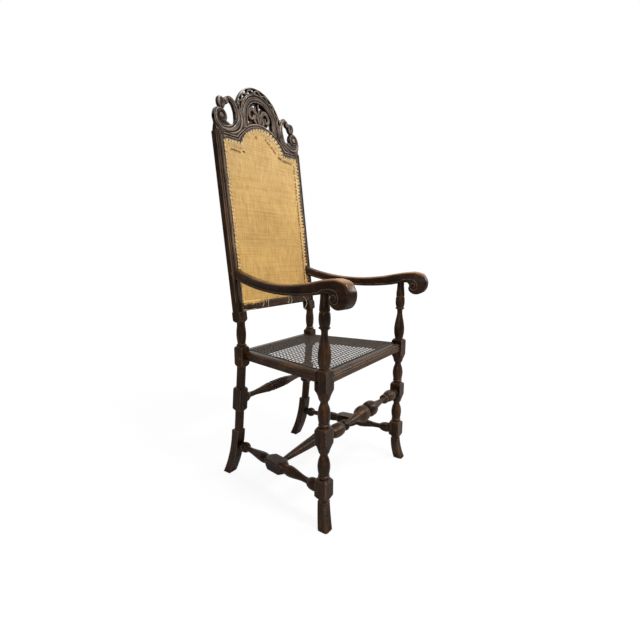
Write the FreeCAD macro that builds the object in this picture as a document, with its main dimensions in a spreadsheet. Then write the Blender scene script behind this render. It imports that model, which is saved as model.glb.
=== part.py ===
import FreeCAD, Part
import math
import os
import Sketcher

# A high-backed open armchair: turned legs and stretchers, a caned seat, scrolled arms,
# and a leaning framed back with a carved and pierced crest, covered in nailed burlap.
# Millimetres, +Z up, and the chair faces -Y. Right and left are the sitter's: left is +X.
# The origin is on the floor, under the middle of the chair's overall width and depth.
# The chair is symmetrical, so its left-hand pieces are built and the right ones mirror them.

SIZES = {
    # Plan of the legs
    "overall_depth": 567, "front_leg_spacing": 488, "rear_leg_spacing": 382, "leg_depth": 368,
    # The front leg's blocks and turnings, from the floor up
    "foot_height": 79, "low_block_length": 71, "low_turning_length": 76, "middle_block_length": 77,
    "upper_turning_length": 77, "seat_block_length": 89, "arm_support_length": 207,
    "front_block": 40, "belly_rise": 36,
    "belly_radius": 18.5, "neck_radius": 11.4, "neck_height": 7,
    "ring_radius": 16.8, "ring_root": 14.5, "ring_thickness": 6, "cove_radius": 13, "cove_height": 3,
    "shoulder_drop": 8, "shoulder_rise": 21,
    # The baluster and vase between the front leg's seat block and the arm
    "baluster_rise": 38, "baluster_radius": 16.2, "baluster_neck": 8.8, "baluster_neck_rise": 97,
    "collar_rise": 108, "collar_radius": 16, "collar_thickness": 7,
    "vase_rise": 136, "vase_radius": 16.6, "vase_groove_rise": 153,
    "vase_top_radius": 11.8, "vase_top_drop": 12, "leg_tenon_radius": 8, "leg_tenon_length": 14,
    # Flared and reeded front foot
    "foot_top_width": 29, "foot_sole_width": 33, "foot_flare_out": 11, "foot_flare_forward": 12,
    "foot_reed_depth": 1.3,
    # Rear posts
    "rear_block": 35, "rake_drop": 16, "rake_run": 26, "rake_rise": 280,
    "rear_block_over_seat": 19, "rear_block_under_seat": 51, "column_radius": 15,
    "stretcher_block_drop": 110, "stretcher_block_length": 82,
    "post_swell_rise": 31, "post_swell_radius": 15.8, "post_neck_radius": 13.6,
    "post_neck_rise": 68, "rear_foot_top": 172, "rear_foot_width": 33, "rear_foot_depth": 30,
    "rear_foot_set": 31, "rear_foot_top_set": 27, "ankle_height": 92, "ankle_set": 41, "heel_set": 78,
    # Back frame: heights run up its leaning front plane from the back's foot
    "back_foot_rise": 88, "back_foot_set": 10, "stile_over_leg": 17, "stile_width": 28,
    "stile_depth": 26, "stile_over_shoulder": 28, "shoulder_height": 572, "lip_width": 12, "rebate_depth": 9,
    "stile_block_height": 27, "lower_rail_height": 28, "lower_rail_depth": 22, "lower_rail_round": 5,
    "front_set": 2, "band_crown": 3, "groove_width": 3, "groove_depth": 4, "bead_width": 7,
    "rail_joint_height": 14, "rail_joint_depth": 8, "rail_joint_length": 16,
    # Crest rail: rises are above the opening's shoulder, and insets from the stile's outer face
    "crest_thickness": 16, "thin_crest_rise": 55, "arch_centre_rise": 99, "arch_radius": 113,
    "arch_foot_over_centre": 35, "field_radius": 64, "reeded_band": 24,
    "opening_arch_half": 101, "opening_arch_rise": 69, "opening_arch_step": 8,
    "opening_moulding": 21, "moulding_groove_set": 9, "crest_groove": 2.5, "field_relief": 5,
    "volute_inset": 23.5, "volute_rise": 76, "volute_radius": 31, "volute_eye_radius": 10,
    "volute_eye_proud": 3, "volute_ring_radius": 19,
    "ear_gap_inset": 66.5, "ear_gap_width": 27, "ear_gap_rise": 58, "ear_gap_length": 60,
    "bud_inset": 40, "bud_rise": 144, "bud_root_inset": 90.5, "bud_root_rise": 139,
    "bud_edge_inset": 11.5, "bud_edge_rise": 118, "ear_waist_inset": 16, "ear_waist_rise": 106,
    "lattice_inner_radius": 96, "lattice_outer_radius": 105, "lattice_hole_radius": 3.2,
    "crest_tenon_width": 14, "crest_tenon_depth": 9, "crest_tenon_height": 26,
    # Seat frame
    "seat_drop": 16, "seat_rail_thickness": 28, "front_rail_set": 14, "back_rail_width": 37,
    "side_rail_width": 37, "side_rail_over_front": 6, "side_rail_inside_rear": 3, "rail_round": 7,
    "rail_groove": 2, "rail_tenon_thickness": 9, "rail_tenon_width": 20, "rail_tenon_length": 18,
    # Cane
    "cane_thickness": 1.6, "cane_margin": 13, "cane_pitch": 21.5, "cane_strand": 5.5,
    "cane_hole_radius": 2, "cane_hole_set": 8,
    # Front and rear stretchers
    "stretcher_tenon_radius": 8, "stretcher_tenon_length": 16,
    "front_stretcher_rise": 41, "front_ball_radius": 23, "front_ball_length": 70,
    "front_ring_radius": 17.5, "front_ring_length": 20, "front_cone_radius": 9,
    "front_cone_length": 46, "front_cone_end_radius": 14, "front_bulb_radius": 27,
    "front_waist_radius": 18, "front_waist_length": 8,
    "rear_collar_radius": 13, "rear_collar_length": 18, "rear_neck_radius": 8.6,
    "rear_taper_length": 92, "rear_taper_radius": 16.5, "rear_ring_radius": 18.5,
    "rear_ring_length": 13, "rear_barrel_radius": 20,
    # Low side stretchers and the medial stretcher between them
    "side_stretcher_rise": 35, "side_block": 42, "side_block_length": 104,
    "side_block_middle": 201, "side_collar_radius": 18, "side_collar_length": 40,
    "side_neck_radius": 10, "side_swell_radius": 19.5, "side_neck_length": 10,
    "medial_end_radius": 8.6, "medial_swell_radius": 19.5, "medial_ring_radius": 21,
    "medial_ring_length": 14, "medial_bore_depth": 17,
    # Arms
    "arm_width": 43, "scroll_reach": 95, "scroll_radius": 39, "scroll_drop": 3,
    "arm_rear_rise": 51, "arm_thickness": 31, "arm_dip_rise": 12, "arm_dip_thickness": 30,
    "arm_dip_set": 172, "arm_crown_rise": 24, "arm_crown_set": 40, "arm_run": 392,
    "throat_drop": 1, "throat_set": 27, "arm_edge_round": 9,
    "arm_tenon_length": 15, "arm_tenon_width": 14, "arm_tenon_height": 20,
    "scroll_eye_radius": 8, "scroll_eye_proud": 1.5,
    # Burlap cover and its tacks
    "burlap_thickness": 1.6, "burlap_clearance": 0.6, "tack_head_radius": 2.8,
    "tack_head_height": 1.2, "tack_shank_radius": 0.9, "tack_shank_length": 8, "tack_set": 6,
    # Joint pegs and fits
    "peg_radius": 3, "peg_length": 26, "peg_set": 10, "fit": 0.15, "overrun": 3,
}

FOOT_REEDS = 3
LATTICE_HOLES = 17
LATTICE_SPAN_SHARE = 0.92
CANE_ROWS = 15
CANE_HOLES_FRONT = 22
CANE_HOLES_BACK = 16
CANE_HOLES_SIDE = 18
TACKS_UP_THE_STILE = 8
TACKS_ALONG_THE_RAIL = 7
TACKS_AT_THE_SHOULDER = 2
TACKS_ROUND_THE_ARCH = 5

# How far across and along a quarter-round lathe shoulder its middle lies
SHOULDER_SHARES = (0.62, 0.38)
SHOULDER_BACK_SHARES = (0.38, 0.62)
# The same for each side of the arch over the back's opening
ARCH_SHARES = (0.416, 0.731)
# The crescent pierced beside the carved field's middle, in field radii from its centre
CRESCENT_SHARES = {"top": (0.2, 0.86), "outside": (0.86, 0.3), "low": (0.74, -0.18), "inside": (0.44, 0.28)}

doc = FreeCAD.newDocument("high_back_armchair")
sheet = doc.addObject("Spreadsheet::Sheet", "Sizes")


class Size:
    """A length that carries its number and its formula in the sheet's names."""

    def __init__(self, number, text):
        self.number = float(number)
        self.text = text

    def __add__(self, other):
        other = as_size(other)
        return Size(self.number + other.number, f"({self.text} + {other.text})")

    def __sub__(self, other):
        other = as_size(other)
        return Size(self.number - other.number, f"({self.text} - {other.text})")

    def __mul__(self, other):
        other = as_size(other)
        return Size(self.number * other.number, f"({self.text} * {other.text})")

    def __truediv__(self, other):
        other = as_size(other)
        return Size(self.number / other.number, f"({self.text} / {other.text})")

    def __neg__(self):
        return Size(-self.number, f"(-1 * {self.text})")

    def root(self):
        return Size(math.sqrt(self.number), f"sqrt({self.text})")


def as_size(value):
    return value if isinstance(value, Size) else Size(value, f"({float(value)!r})")


def between(low, high, share):
    return as_size(low) + (as_size(high) - low) * share


class Named:
    """The sheet's sizes, by name."""


S = Named()
for row, (alias, value) in enumerate(SIZES.items(), start=1):
    sheet.set(f"A{row}", alias)
    sheet.set(f"B{row}", str(value))
    sheet.setAlias(f"B{row}", alias)
    setattr(S, alias, Size(value, f"Sizes.{alias}"))
doc.recompute()

NOTHING = as_size(0)
ONE = as_size(1)


class Outline:
    """A closed path of lines and three-point arcs in named sizes."""

    def __init__(self, x, y):
        self.corners = [(as_size(x), as_size(y))]
        self.vias = []

    def line(self, x, y):
        self.vias.append(None)
        self.corners.append((as_size(x), as_size(y)))
        return self

    def arc(self, via_x, via_y, x, y):
        self.vias.append((as_size(via_x), as_size(via_y)))
        self.corners.append((as_size(x), as_size(y)))
        return self

    def swing(self, x, y, across_share, along_share):
        """An arc whose middle lies at shares of the way across and along to its end."""
        last_x, last_y = self.corners[-1]
        return self.arc(between(last_x, x, across_share), between(last_y, y, along_share), x, y)

    def bead(self, radius, height):
        """A rounded ring that bulges to a radius and returns to where it began."""
        x, y = self.corners[-1]
        return self.arc(radius, y + height * 0.5, x, y + height)

    def back_along(self, other, flip_x=1, flip_y=1):
        """Follow another path, or its mirror image, from its last point back to its first."""
        corners, vias = list(other.corners), list(other.vias)
        x, y = corners[-1]
        if not same_place(self.corners[-1], (x * flip_x, y * flip_y)):
            self.line(x * flip_x, y * flip_y)
        for (x, y), via in zip(reversed(corners[:-1]), reversed(vias)):
            if via is None:
                self.line(x * flip_x, y * flip_y)
            else:
                self.arc(via[0] * flip_x, via[1] * flip_y, x * flip_x, y * flip_y)
        return self

    def doubled(self):
        """The path and then its mirror image in the upright axis."""
        return self.back_along(self, flip_x=-1)


def rectangle(x_low, y_low, x_high, y_high):
    return Outline(x_low, y_low).line(x_high, y_low).line(x_high, y_high).line(x_low, y_high)


def vector(place):
    return FreeCAD.Vector(place[0].number, place[1].number, 0)


def same_place(one, other):
    return vector(one).isEqual(vector(other), 1e-6)


def arc_geometry(start, via, end):
    """The arc through three places, and whether it runs anticlockwise."""
    first, middle, last = vector(start), vector(via), vector(end)
    forward = (middle - first).cross(last - first).z > 0
    circle = Part.Arc(first, middle, last).toShape().Curve
    centre = circle.Center
    if not forward:
        first, last = last, first
    first_angle = math.atan2(first.y - centre.y, first.x - centre.x)
    last_angle = math.atan2(last.y - centre.y, last.x - centre.x)
    if last_angle <= first_angle:
        last_angle += 2 * math.pi
    flat = Part.Circle(centre, FreeCAD.Vector(0, 0, 1), circle.Radius)
    return Part.ArcOfCircle(flat, first_angle, last_angle), forward


def hold(constraints, bound, geometry, vertex, spot):
    """Hold a sketch point at its named place, on an axis where that place is zero."""
    for kind, axis, size in (("DistanceX", -2, spot[0]), ("DistanceY", -1, spot[1])):
        if size.number == 0:
            constraints.append(Sketcher.Constraint("PointOnObject", geometry, vertex, axis))
        else:
            bound.append((len(constraints), size))
            constraints.append(Sketcher.Constraint(kind, -1, 1, geometry, vertex, size.number))


def add_constraints(sketch, constraints, bound):
    first = sketch.ConstraintCount
    sketch.addConstraint(constraints)
    for offset, size in bound:
        sketch.setExpression(f"Constraints[{first + offset}]", size.text)


def draw(sketch, outline):
    """Add an outline to a sketch, with every point tied to the sheet."""
    corners, vias = list(outline.corners), list(outline.vias)
    if same_place(corners[-1], corners[0]):
        corners.pop()
    else:
        vias.append(None)
    first = sketch.GeometryCount
    shapes, ends, middles = [], [], []
    for index, via in enumerate(vias):
        start, end = corners[index], corners[(index + 1) % len(corners)]
        if via is None:
            shapes.append(Part.LineSegment(vector(start), vector(end)))
            ends.append((1, 2))
        else:
            arc, forward = arc_geometry(start, via, end)
            shapes.append(arc)
            ends.append((1, 2) if forward else (2, 1))
            middles.append((index, via))
    sketch.addGeometry(shapes, False)
    constraints, bound = [], []
    for index, corner in enumerate(corners):
        following = (index + 1) % len(corners)
        constraints.append(Sketcher.Constraint("Coincident", first + index, ends[index][1],
                                               first + following, ends[following][0]))
        hold(constraints, bound, first + index, ends[index][0], corner)
    for index, via in middles:
        point = sketch.addGeometry(Part.Point(vector(via)), True)
        hold(constraints, bound, point, 1, via)
        constraints.append(Sketcher.Constraint("PointOnObject", point, 1, first + index))
    add_constraints(sketch, constraints, bound)


def draw_circle(sketch, x, y, radius):
    centre = (as_size(x), as_size(y))
    index = sketch.addGeometry(Part.Circle(vector(centre), FreeCAD.Vector(0, 0, 1), radius.number), False)
    constraints, bound = [], []
    hold(constraints, bound, index, 3, centre)
    bound.append((len(constraints), radius))
    constraints.append(Sketcher.Constraint("Radius", index, radius.number))
    add_constraints(sketch, constraints, bound)


def new_body(name):
    return doc.addObject("PartDesign::Body", name)


def new_sketch(body, name, role, offset=None):
    """A sketch on one of its body's own origin planes, moved along the plane's normal."""
    sketch = body.newObject("Sketcher::SketchObject", name)
    plane = [feature for feature in body.Origin.OriginFeatures if feature.Role == role][0]
    sketch.AttachmentSupport = [(plane, "")]
    sketch.MapMode = "FlatFace"
    if offset is not None:
        sketch.setExpression("AttachmentOffset.Base.z", offset.text)
    return sketch


def extrude(body, kind, sketch, length, symmetric=False, backwards=False):
    feature = body.newObject("PartDesign::" + kind, f"{sketch.Name}_{kind.lower()}")
    feature.Profile = sketch
    feature.setExpression("Length", length.text)
    feature.SideType = "Symmetric" if symmetric else "One side"
    feature.Reversed = backwards
    return feature


def turn(body, kind, sketch):
    feature = body.newObject("PartDesign::" + kind, sketch.Name + "_turned")
    feature.Profile = sketch
    feature.ReferenceAxis = (sketch, ["V_Axis"])
    feature.Angle = 360
    return feature


def place(item, x=NOTHING, y=NOTHING, z=NOTHING, axis=None, angle=None):
    """Put an object at a named place, turned about an axis by a formula in degrees."""
    if axis is not None:
        item.Placement = FreeCAD.Placement(FreeCAD.Vector(), FreeCAD.Rotation(FreeCAD.Vector(*axis), 1))
        item.setExpression("Placement.Rotation.Angle", angle)
    for letter, size in (("x", x), ("y", y), ("z", z)):
        item.setExpression("Placement.Base." + letter, size.text)
    return item


# Ways for something that stands upright to be laid down
ALONG_X = ((0, 1, 0), "90 deg")
AGAINST_X = ((0, 1, 0), "-90 deg")
ALONG_Y = ((1, 0, 0), "-90 deg")
AGAINST_Y = ((1, 0, 0), "90 deg")


def box(name, width, depth, height, x=NOTHING, y=NOTHING, z=NOTHING):
    item = doc.addObject("Part::Box", name)
    item.setExpression("Length", width.text)
    item.setExpression("Width", depth.text)
    item.setExpression("Height", height.text)
    return place(item, x, y, z)


def rod(name, radius, length, x=NOTHING, y=NOTHING, z=NOTHING, pointing=(None, None)):
    item = doc.addObject("Part::Cylinder", name)
    item.setExpression("Radius", radius.text)
    item.setExpression("Height", length.text)
    return place(item, x, y, z, *pointing)


def fuse(name, items):
    item = doc.addObject("Part::MultiFuse", name)
    item.Shapes = items
    item.Refine = True
    return item


def group(name, items):
    item = doc.addObject("Part::Compound", name)
    item.Links = items
    return item


def cut(name, base, tools):
    item = doc.addObject("Part::Cut", name)
    item.Base = base
    item.Tool = tools[0] if len(tools) == 1 else fuse(name + "_cutters", tools)
    return item


def mirror(name, item):
    image = doc.addObject("Part::Mirroring", name)
    image.Source = item
    image.Normal = FreeCAD.Vector(1, 0, 0)
    return image


nodes = []
sockets = {}


def socket(piece, tool):
    """Keep a mortise or bore to be cut from a piece when it is finished."""
    sockets.setdefault(piece, []).append(tool)


def socket_pair(piece, tool):
    """Keep a left-hand mortise and its mirror image, for a piece that crosses the chair."""
    socket(piece, tool)
    socket(piece, mirror(f"{piece}_{tool.Name}_mirrored", tool))


def finish(name, item):
    """Cut a piece's sockets and make it a node of the chair."""
    whole = cut(name, item, sockets[name]) if name in sockets else group(name, [item])
    whole.Label = name
    nodes.append(whole)


def finish_pair(name, item):
    """Cut a left-hand piece's sockets, and mirror the finished piece to the right."""
    whole = cut(name + "_left", item, sockets[name])
    image = mirror(name + "_right", whole)
    whole.Label, image.Label = name + "_left", name + "_right"
    nodes.extend([whole, image])


# Levels of the front leg, from the floor up, and of the seat and rear post, tied to it
low_block_top = S.foot_height + S.low_block_length
middle_block_bottom = low_block_top + S.low_turning_length
middle_block_top = middle_block_bottom + S.middle_block_length
seat_block_bottom = middle_block_top + S.upper_turning_length
seat_block_top = seat_block_bottom + S.seat_block_length
arm_level = seat_block_top + S.arm_support_length
vase_top = arm_level - S.vase_top_drop
seat_top = seat_block_top - S.seat_drop
rail_bottom = seat_top - S.seat_rail_thickness
front_stretcher_height = middle_block_bottom + S.front_stretcher_rise
side_stretcher_height = S.foot_height + S.side_stretcher_rise
rake_height = seat_top - S.rake_drop
rear_block_top = seat_top + S.rear_block_over_seat
back_foot_height = rear_block_top + S.back_foot_rise

# Places in plan that several pieces share
front_x = S.front_leg_spacing * 0.5
rear_x = S.rear_leg_spacing * 0.5
front_half = S.front_block * 0.5
rear_half = S.rear_block * 0.5
splay = front_x - rear_x
arm_line = (splay * splay + S.leg_depth * S.leg_depth).root()
leg_y = (S.scroll_reach * S.leg_depth + S.arm_width * 0.5 * splay) / arm_line - S.overall_depth * 0.5
rear_y = leg_y + S.leg_depth
rail_front_y = leg_y + front_half
rail_rear_y = rear_y - rear_half
side_rail_front = front_x + S.side_rail_over_front
side_rail_rear = rear_x - S.side_rail_inside_rear
side_run = S.leg_depth + S.rear_foot_set
side_line = (splay * splay + side_run * side_run).root()
rake_line = (S.rake_run * S.rake_run + S.rake_rise * S.rake_rise).root()
stile_outer_x = rear_x + S.stile_over_leg
opening_x = stile_outer_x - S.stile_width
stile_length = S.shoulder_height + S.stile_over_shoulder
rail_top_height = S.stile_block_height + S.lower_rail_height
crest_tenon_x = between(opening_x, stile_outer_x, 0.5) - S.crest_tenon_width * 0.5
crest_tenon_y = (S.stile_depth - S.crest_tenon_depth) * 0.5
rail_tenon_height = S.stile_block_height + (S.lower_rail_height - S.rail_joint_height) * 0.5

volute_x = stile_outer_x - S.volute_inset
volute_height = S.shoulder_height + S.volute_rise
thin_crest_height = S.shoulder_height + S.thin_crest_rise
arch_centre = S.shoulder_height + S.arch_centre_rise

# The back leans until the crest's top reaches the rear of the overall depth
back_y = rear_y - S.back_foot_set
crest_top_height = arch_centre + S.arch_radius
lean_sine = (S.overall_depth * 0.5 - S.crest_thickness - back_y) / crest_top_height
lean_cosine = (ONE - lean_sine * lean_sine).root()
LEAN = f"-asin({lean_sine.text})"
UP_THE_BACK = ((1, 0, 0), LEAN)
INTO_BACK = ((1, 0, 0), f"{LEAN} - 90 deg")
OUT_OF_BACK = ((1, 0, 0), f"{LEAN} + 90 deg")


def back_place(item, x=NOTHING, depth=NOTHING, height=NOTHING, pointing=UP_THE_BACK):
    """Put an object in the leaning back: across, behind its front plane, and up its slope."""
    return place(item, x, back_y + depth * lean_cosine + height * lean_sine,
                 back_foot_height + height * lean_cosine - depth * lean_sine, *pointing)


def above_block(over, block_top, root):
    """Start a turned length above a square block, with the block's lathe-cut shoulder."""
    return Outline(over, block_top - S.shoulder_drop).swing(root, block_top, *SHOULDER_BACK_SHARES)


def up_to_block(outline, over, neck, block_bottom, rise):
    """Run a turned length up into the rounded lower end of a square block."""
    outline.line(neck, block_bottom)
    return outline.swing(over, block_bottom + rise, *SHOULDER_SHARES)


def ring_above_block(over, block_top):
    """The shoulder, ring and cove that stand on each square block of a leg."""
    outline = above_block(over, block_top, S.ring_root)
    outline.bead(S.ring_radius, S.ring_thickness)
    return outline.line(S.cove_radius, block_top + S.ring_thickness + S.cove_height)


def stock(body, name, square, bottom, top, zones):
    """Square stock stood on end, with each turned length cut away about its axis."""
    sketch = new_sketch(body, name + "_stock", "XY_Plane", bottom)
    half = square * 0.5
    draw(sketch, rectangle(-half, -half, half, half))
    extrude(body, "Pad", sketch, top - bottom)
    sketch = new_sketch(body, name + "_turning", "XZ_Plane")
    for zone in zones:
        draw(sketch, zone)
    turn(body, "Groove", sketch)


def reeded_square(x, y, width):
    """A square whose sides are each a row of shallow reeds."""
    half, pitch = width * 0.5, width / FOOT_REEDS
    outline = Outline(x - half, y - half)
    for along, out in (((1, 0), (0, -1)), ((0, 1), (1, 0)), ((-1, 0), (0, 1)), ((0, -1), (-1, 0))):
        for _ in range(FOOT_REEDS):
            last_x, last_y = outline.corners[-1]
            crown_x = last_x + pitch * 0.5 * along[0] + S.foot_reed_depth * out[0]
            crown_y = last_y + pitch * 0.5 * along[1] + S.foot_reed_depth * out[1]
            outline.arc(crown_x, crown_y, last_x + pitch * along[0], last_y + pitch * along[1])
    return outline


def front_leg():
    """One piece from the flared foot to the tenon under the arm."""
    body = new_body("front_leg_body")
    over = S.front_block * 0.75
    top = arm_level + S.leg_tenon_length
    ankle = S.foot_top_width * 0.6
    foot_zone = Outline(over, S.foot_height - S.overrun).line(ankle, S.foot_height - S.overrun)
    zones = [up_to_block(foot_zone, over, ankle, S.foot_height, S.shoulder_rise * 0.6)]
    for block_top, block_bottom in ((low_block_top, middle_block_bottom),
                                    (middle_block_top, seat_block_bottom)):
        zone = ring_above_block(over, block_top)
        zone.arc(S.belly_radius, block_top + S.belly_rise, S.neck_radius, block_bottom - S.neck_height)
        zones.append(up_to_block(zone, over, S.neck_radius, block_bottom, S.shoulder_rise))
    zone = ring_above_block(over, seat_block_top)
    neck, groove = seat_block_top + S.baluster_neck_rise, seat_block_top + S.vase_groove_rise
    zone.arc(S.baluster_radius, seat_block_top + S.baluster_rise, S.baluster_neck * 1.2,
             seat_block_top + between(S.baluster_rise, S.baluster_neck_rise, 0.62))
    zone.arc(S.baluster_neck, neck, S.baluster_neck * 1.15, seat_block_top + S.collar_rise)
    zone.line(S.cove_radius, seat_block_top + S.collar_rise)
    zone.bead(S.collar_radius, S.collar_thickness)
    zone.arc(S.vase_radius, seat_block_top + S.vase_rise, S.ring_root, groove)
    zone.line(S.cove_radius, groove + S.cove_height * 0.4)
    zone.line(S.ring_root, groove + S.cove_height)
    zone.swing(S.vase_top_radius, vase_top, 0.7, 0.5)
    zone.line(S.vase_top_radius, arm_level)
    zone.line(S.leg_tenon_radius, arm_level)
    zone.line(S.leg_tenon_radius, top + S.overrun)
    zones.append(zone.line(over, top + S.overrun))
    stock(body, "front_leg", S.front_block, S.foot_height, top, zones)
    sections = []
    for height_share, flare_share in ((1, 0), (0.5, 0.3), (0, 1)):
        sketch = new_sketch(body, "front_foot_section", "XY_Plane", S.foot_height * height_share)
        width = between(S.foot_top_width, S.foot_sole_width, flare_share)
        sole_x, sole_y = S.foot_flare_out * flare_share, -S.foot_flare_forward * flare_share
        draw(sketch, reeded_square(sole_x, sole_y, width))
        sections.append(sketch)
    foot = body.newObject("PartDesign::AdditiveLoft", "front_foot_flare")
    foot.Profile = sections[0]
    foot.Sections = sections[1:]
    return place(body, front_x, leg_y)


def rear_foot():
    """The square, backward-swept foot, sawn to a curve in side view."""
    body = new_body("rear_foot")
    sketch = new_sketch(body, "rear_foot_side", "YZ_Plane")
    half = S.rear_foot_depth * 0.5
    outline = Outline(S.rear_foot_top_set - half, S.rear_foot_top)
    outline.arc(S.ankle_set - half, S.ankle_height, S.heel_set - half, 0)
    outline.line(S.heel_set + half, 0)
    outline.arc(S.ankle_set + half, S.ankle_height, S.rear_foot_top_set + half, S.rear_foot_top)
    draw(sketch, outline)
    extrude(body, "Pad", sketch, S.rear_foot_width, symmetric=True)
    return place(body, rear_x, rear_y)


def lower_shaft():
    """The raked shaft from the foot up into the seat block, with the rear stretcher's block."""
    body = new_body("lower_shaft")
    over = S.rear_block * 0.75
    block_top = -S.stretcher_block_drop
    bottom = (S.rear_foot_top - rake_height) * rake_line / S.rake_rise - S.overrun * 0.5
    low = Outline(over, bottom - S.overrun).line(S.column_radius, bottom - S.overrun)
    up_to_block(low, over, S.column_radius, block_top - S.stretcher_block_length, S.shoulder_drop)
    high = above_block(over, block_top, S.column_radius)
    high.line(S.column_radius, S.overrun).line(over, S.overrun)
    stock(body, "lower_shaft", S.rear_block, bottom, NOTHING, [low, high])
    rake = f"atan({S.rake_run.text} / {S.rake_rise.text})"
    return place(body, rear_x, rear_y, rake_height, (1, 0, 0), rake)


def seat_block():
    """The upright seat block of the rear post and the short turned length above it."""
    body = new_body("rear_seat_block")
    over = S.rear_block * 0.75
    bottom, top = seat_top - S.rear_block_under_seat, back_foot_height + S.shoulder_drop
    low = Outline(over, bottom - S.overrun).line(S.column_radius, bottom - S.overrun)
    up_to_block(low, over, S.column_radius, bottom, S.shoulder_rise * 0.7)
    high = ring_above_block(over, rear_block_top)
    high.arc(S.post_swell_radius, rear_block_top + S.post_swell_rise,
             S.post_neck_radius, rear_block_top + S.post_neck_rise)
    high.line(S.post_neck_radius, top + S.overrun).line(over, top + S.overrun)
    stock(body, "rear_seat_block", S.rear_block, bottom, top, [low, high])
    return place(body, rear_x, rear_y)


def stile_block():
    """The square lower end of the stile, rounded where the turning ends."""
    body = new_body("stile_block")
    square = (stile_outer_x - rear_x) * 2
    over, bottom = square * 0.75, -S.shoulder_drop
    low = Outline(over, bottom - S.overrun).line(S.post_neck_radius, bottom - S.overrun)
    up_to_block(low, over, S.post_neck_radius, bottom, S.shoulder_drop * 1.6)
    stock(body, "stile_block", square, bottom, S.stile_block_height, [low])
    return back_place(body, rear_x, S.stile_depth * 0.5)


def stile():
    """The leaning upright: a moulded bar with a lip behind that the burlap is nailed to."""
    body = new_body("stile")
    sketch = new_sketch(body, "stile_section", "XY_Plane")
    crown = S.front_set - S.band_crown
    bead_start = stile_outer_x - S.bead_width
    band_end = bead_start - S.groove_width
    outline = Outline(opening_x, S.front_set)
    outline.arc(between(opening_x, band_end, 0.5), crown, band_end, S.front_set)
    outline.line(band_end, S.groove_depth).line(bead_start, S.groove_depth).line(bead_start, S.front_set)
    outline.arc(between(bead_start, stile_outer_x, 0.5), crown, stile_outer_x, S.front_set)
    outline.line(stile_outer_x, S.stile_depth).line(opening_x, S.stile_depth)
    draw(sketch, outline)
    extrude(body, "Pad", sketch, stile_length)
    lip_bottom = rail_top_height + S.lip_width
    sketch = new_sketch(body, "stile_lip", "XY_Plane", lip_bottom)
    draw(sketch, rectangle(opening_x - S.lip_width, S.rebate_depth,
                           opening_x + S.groove_width, S.stile_depth))
    extrude(body, "Pad", sketch, S.shoulder_height - lip_bottom)
    sketch = new_sketch(body, "stile_tenon", "XY_Plane", stile_length)
    draw(sketch, rectangle(crest_tenon_x, crest_tenon_y, crest_tenon_x + S.crest_tenon_width,
                           crest_tenon_y + S.crest_tenon_depth))
    extrude(body, "Pad", sketch, S.crest_tenon_height)
    return back_place(body)


def peg_from_behind(bundle, piece, name, across, height):
    """A peg driven from the back through a stile and the piece joined to it."""
    length = S.stile_depth - S.rebate_depth * 0.5
    bore = rod(name + "_bore", S.peg_radius + S.fit, length + S.fit)
    back_place(bore, across, S.stile_depth, height, OUT_OF_BACK)
    socket_pair(piece, bore)
    socket("rear_post", bore)
    driven = rod(name, S.peg_radius, length)
    bundle.append(back_place(driven, across, S.stile_depth, height, OUT_OF_BACK))


def crest_joint(bundle):
    """The mortises in the crest over the stiles' tenons."""
    mortise = box("crest_mortise", S.crest_tenon_width + S.fit * 2, S.crest_tenon_depth + S.fit * 2,
                  S.crest_tenon_height + S.fit)
    back_place(mortise, crest_tenon_x - S.fit, crest_tenon_y - S.fit, stile_length)
    socket_pair("crest_rail", mortise)
    peg_from_behind(bundle, "crest_rail", "crest_peg", crest_tenon_x + S.crest_tenon_width * 0.5,
                    stile_length + S.crest_tenon_height * 0.5)


def rail_joint(bundle):
    """The mortise in the stile for the lower back rail's tenon."""
    mortise = box("lower_rail_mortise", S.rail_joint_length + S.fit, S.rail_joint_depth + S.fit * 2,
                  S.rail_joint_height + S.fit * 2)
    back_place(mortise, opening_x, S.rebate_depth - S.fit, rail_tenon_height - S.fit)
    socket("rear_post", mortise)
    peg_from_behind(bundle, "lower_back_rail", "lower_rail_peg", opening_x + S.rail_joint_length * 0.5,
                    rail_tenon_height + S.rail_joint_height * 0.5)


def lower_back_rail():
    """The rail under the burlap, with a lip standing up behind it, tenoned into the stiles."""
    body = new_body("lower_back_rail_body")
    sketch = new_sketch(body, "lower_back_rail_section", "YZ_Plane")
    bottom, top, rounding = S.stile_block_height, rail_top_height, S.lower_rail_round
    outline = Outline(S.lower_rail_depth, bottom).line(S.lower_rail_depth, top + S.lip_width)
    outline.line(S.rebate_depth, top + S.lip_width).line(S.rebate_depth, top)
    outline.line(S.front_set + rounding, top)
    outline.swing(S.front_set, top - rounding, 0.71, 0.29)
    outline.line(S.front_set, bottom + rounding)
    outline.swing(S.front_set + rounding, bottom, 0.29, 0.71)
    draw(sketch, outline)
    extrude(body, "Pad", sketch, opening_x * 2, symmetric=True)
    sketch = new_sketch(body, "lower_back_rail_tenons", "YZ_Plane")
    draw(sketch, rectangle(S.rebate_depth, rail_tenon_height, S.rebate_depth + S.rail_joint_depth,
                           rail_tenon_height + S.rail_joint_height))
    extrude(body, "Pad", sketch, opening_x * 2 + S.rail_joint_length * 2, symmetric=True)
    return back_place(body)


def opening_edge(outset):
    """Half the back opening's upper edge, set out by a distance: from its arch to its side."""
    half, foot = S.opening_arch_half + outset, S.shoulder_height + outset
    top, step = foot + S.opening_arch_rise, foot + S.opening_arch_step
    outline = Outline(0, top)
    outline.arc(half * (1 - ARCH_SHARES[0]), between(step, top, ARCH_SHARES[1]), half, step)
    return outline.line(half, foot)


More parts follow.
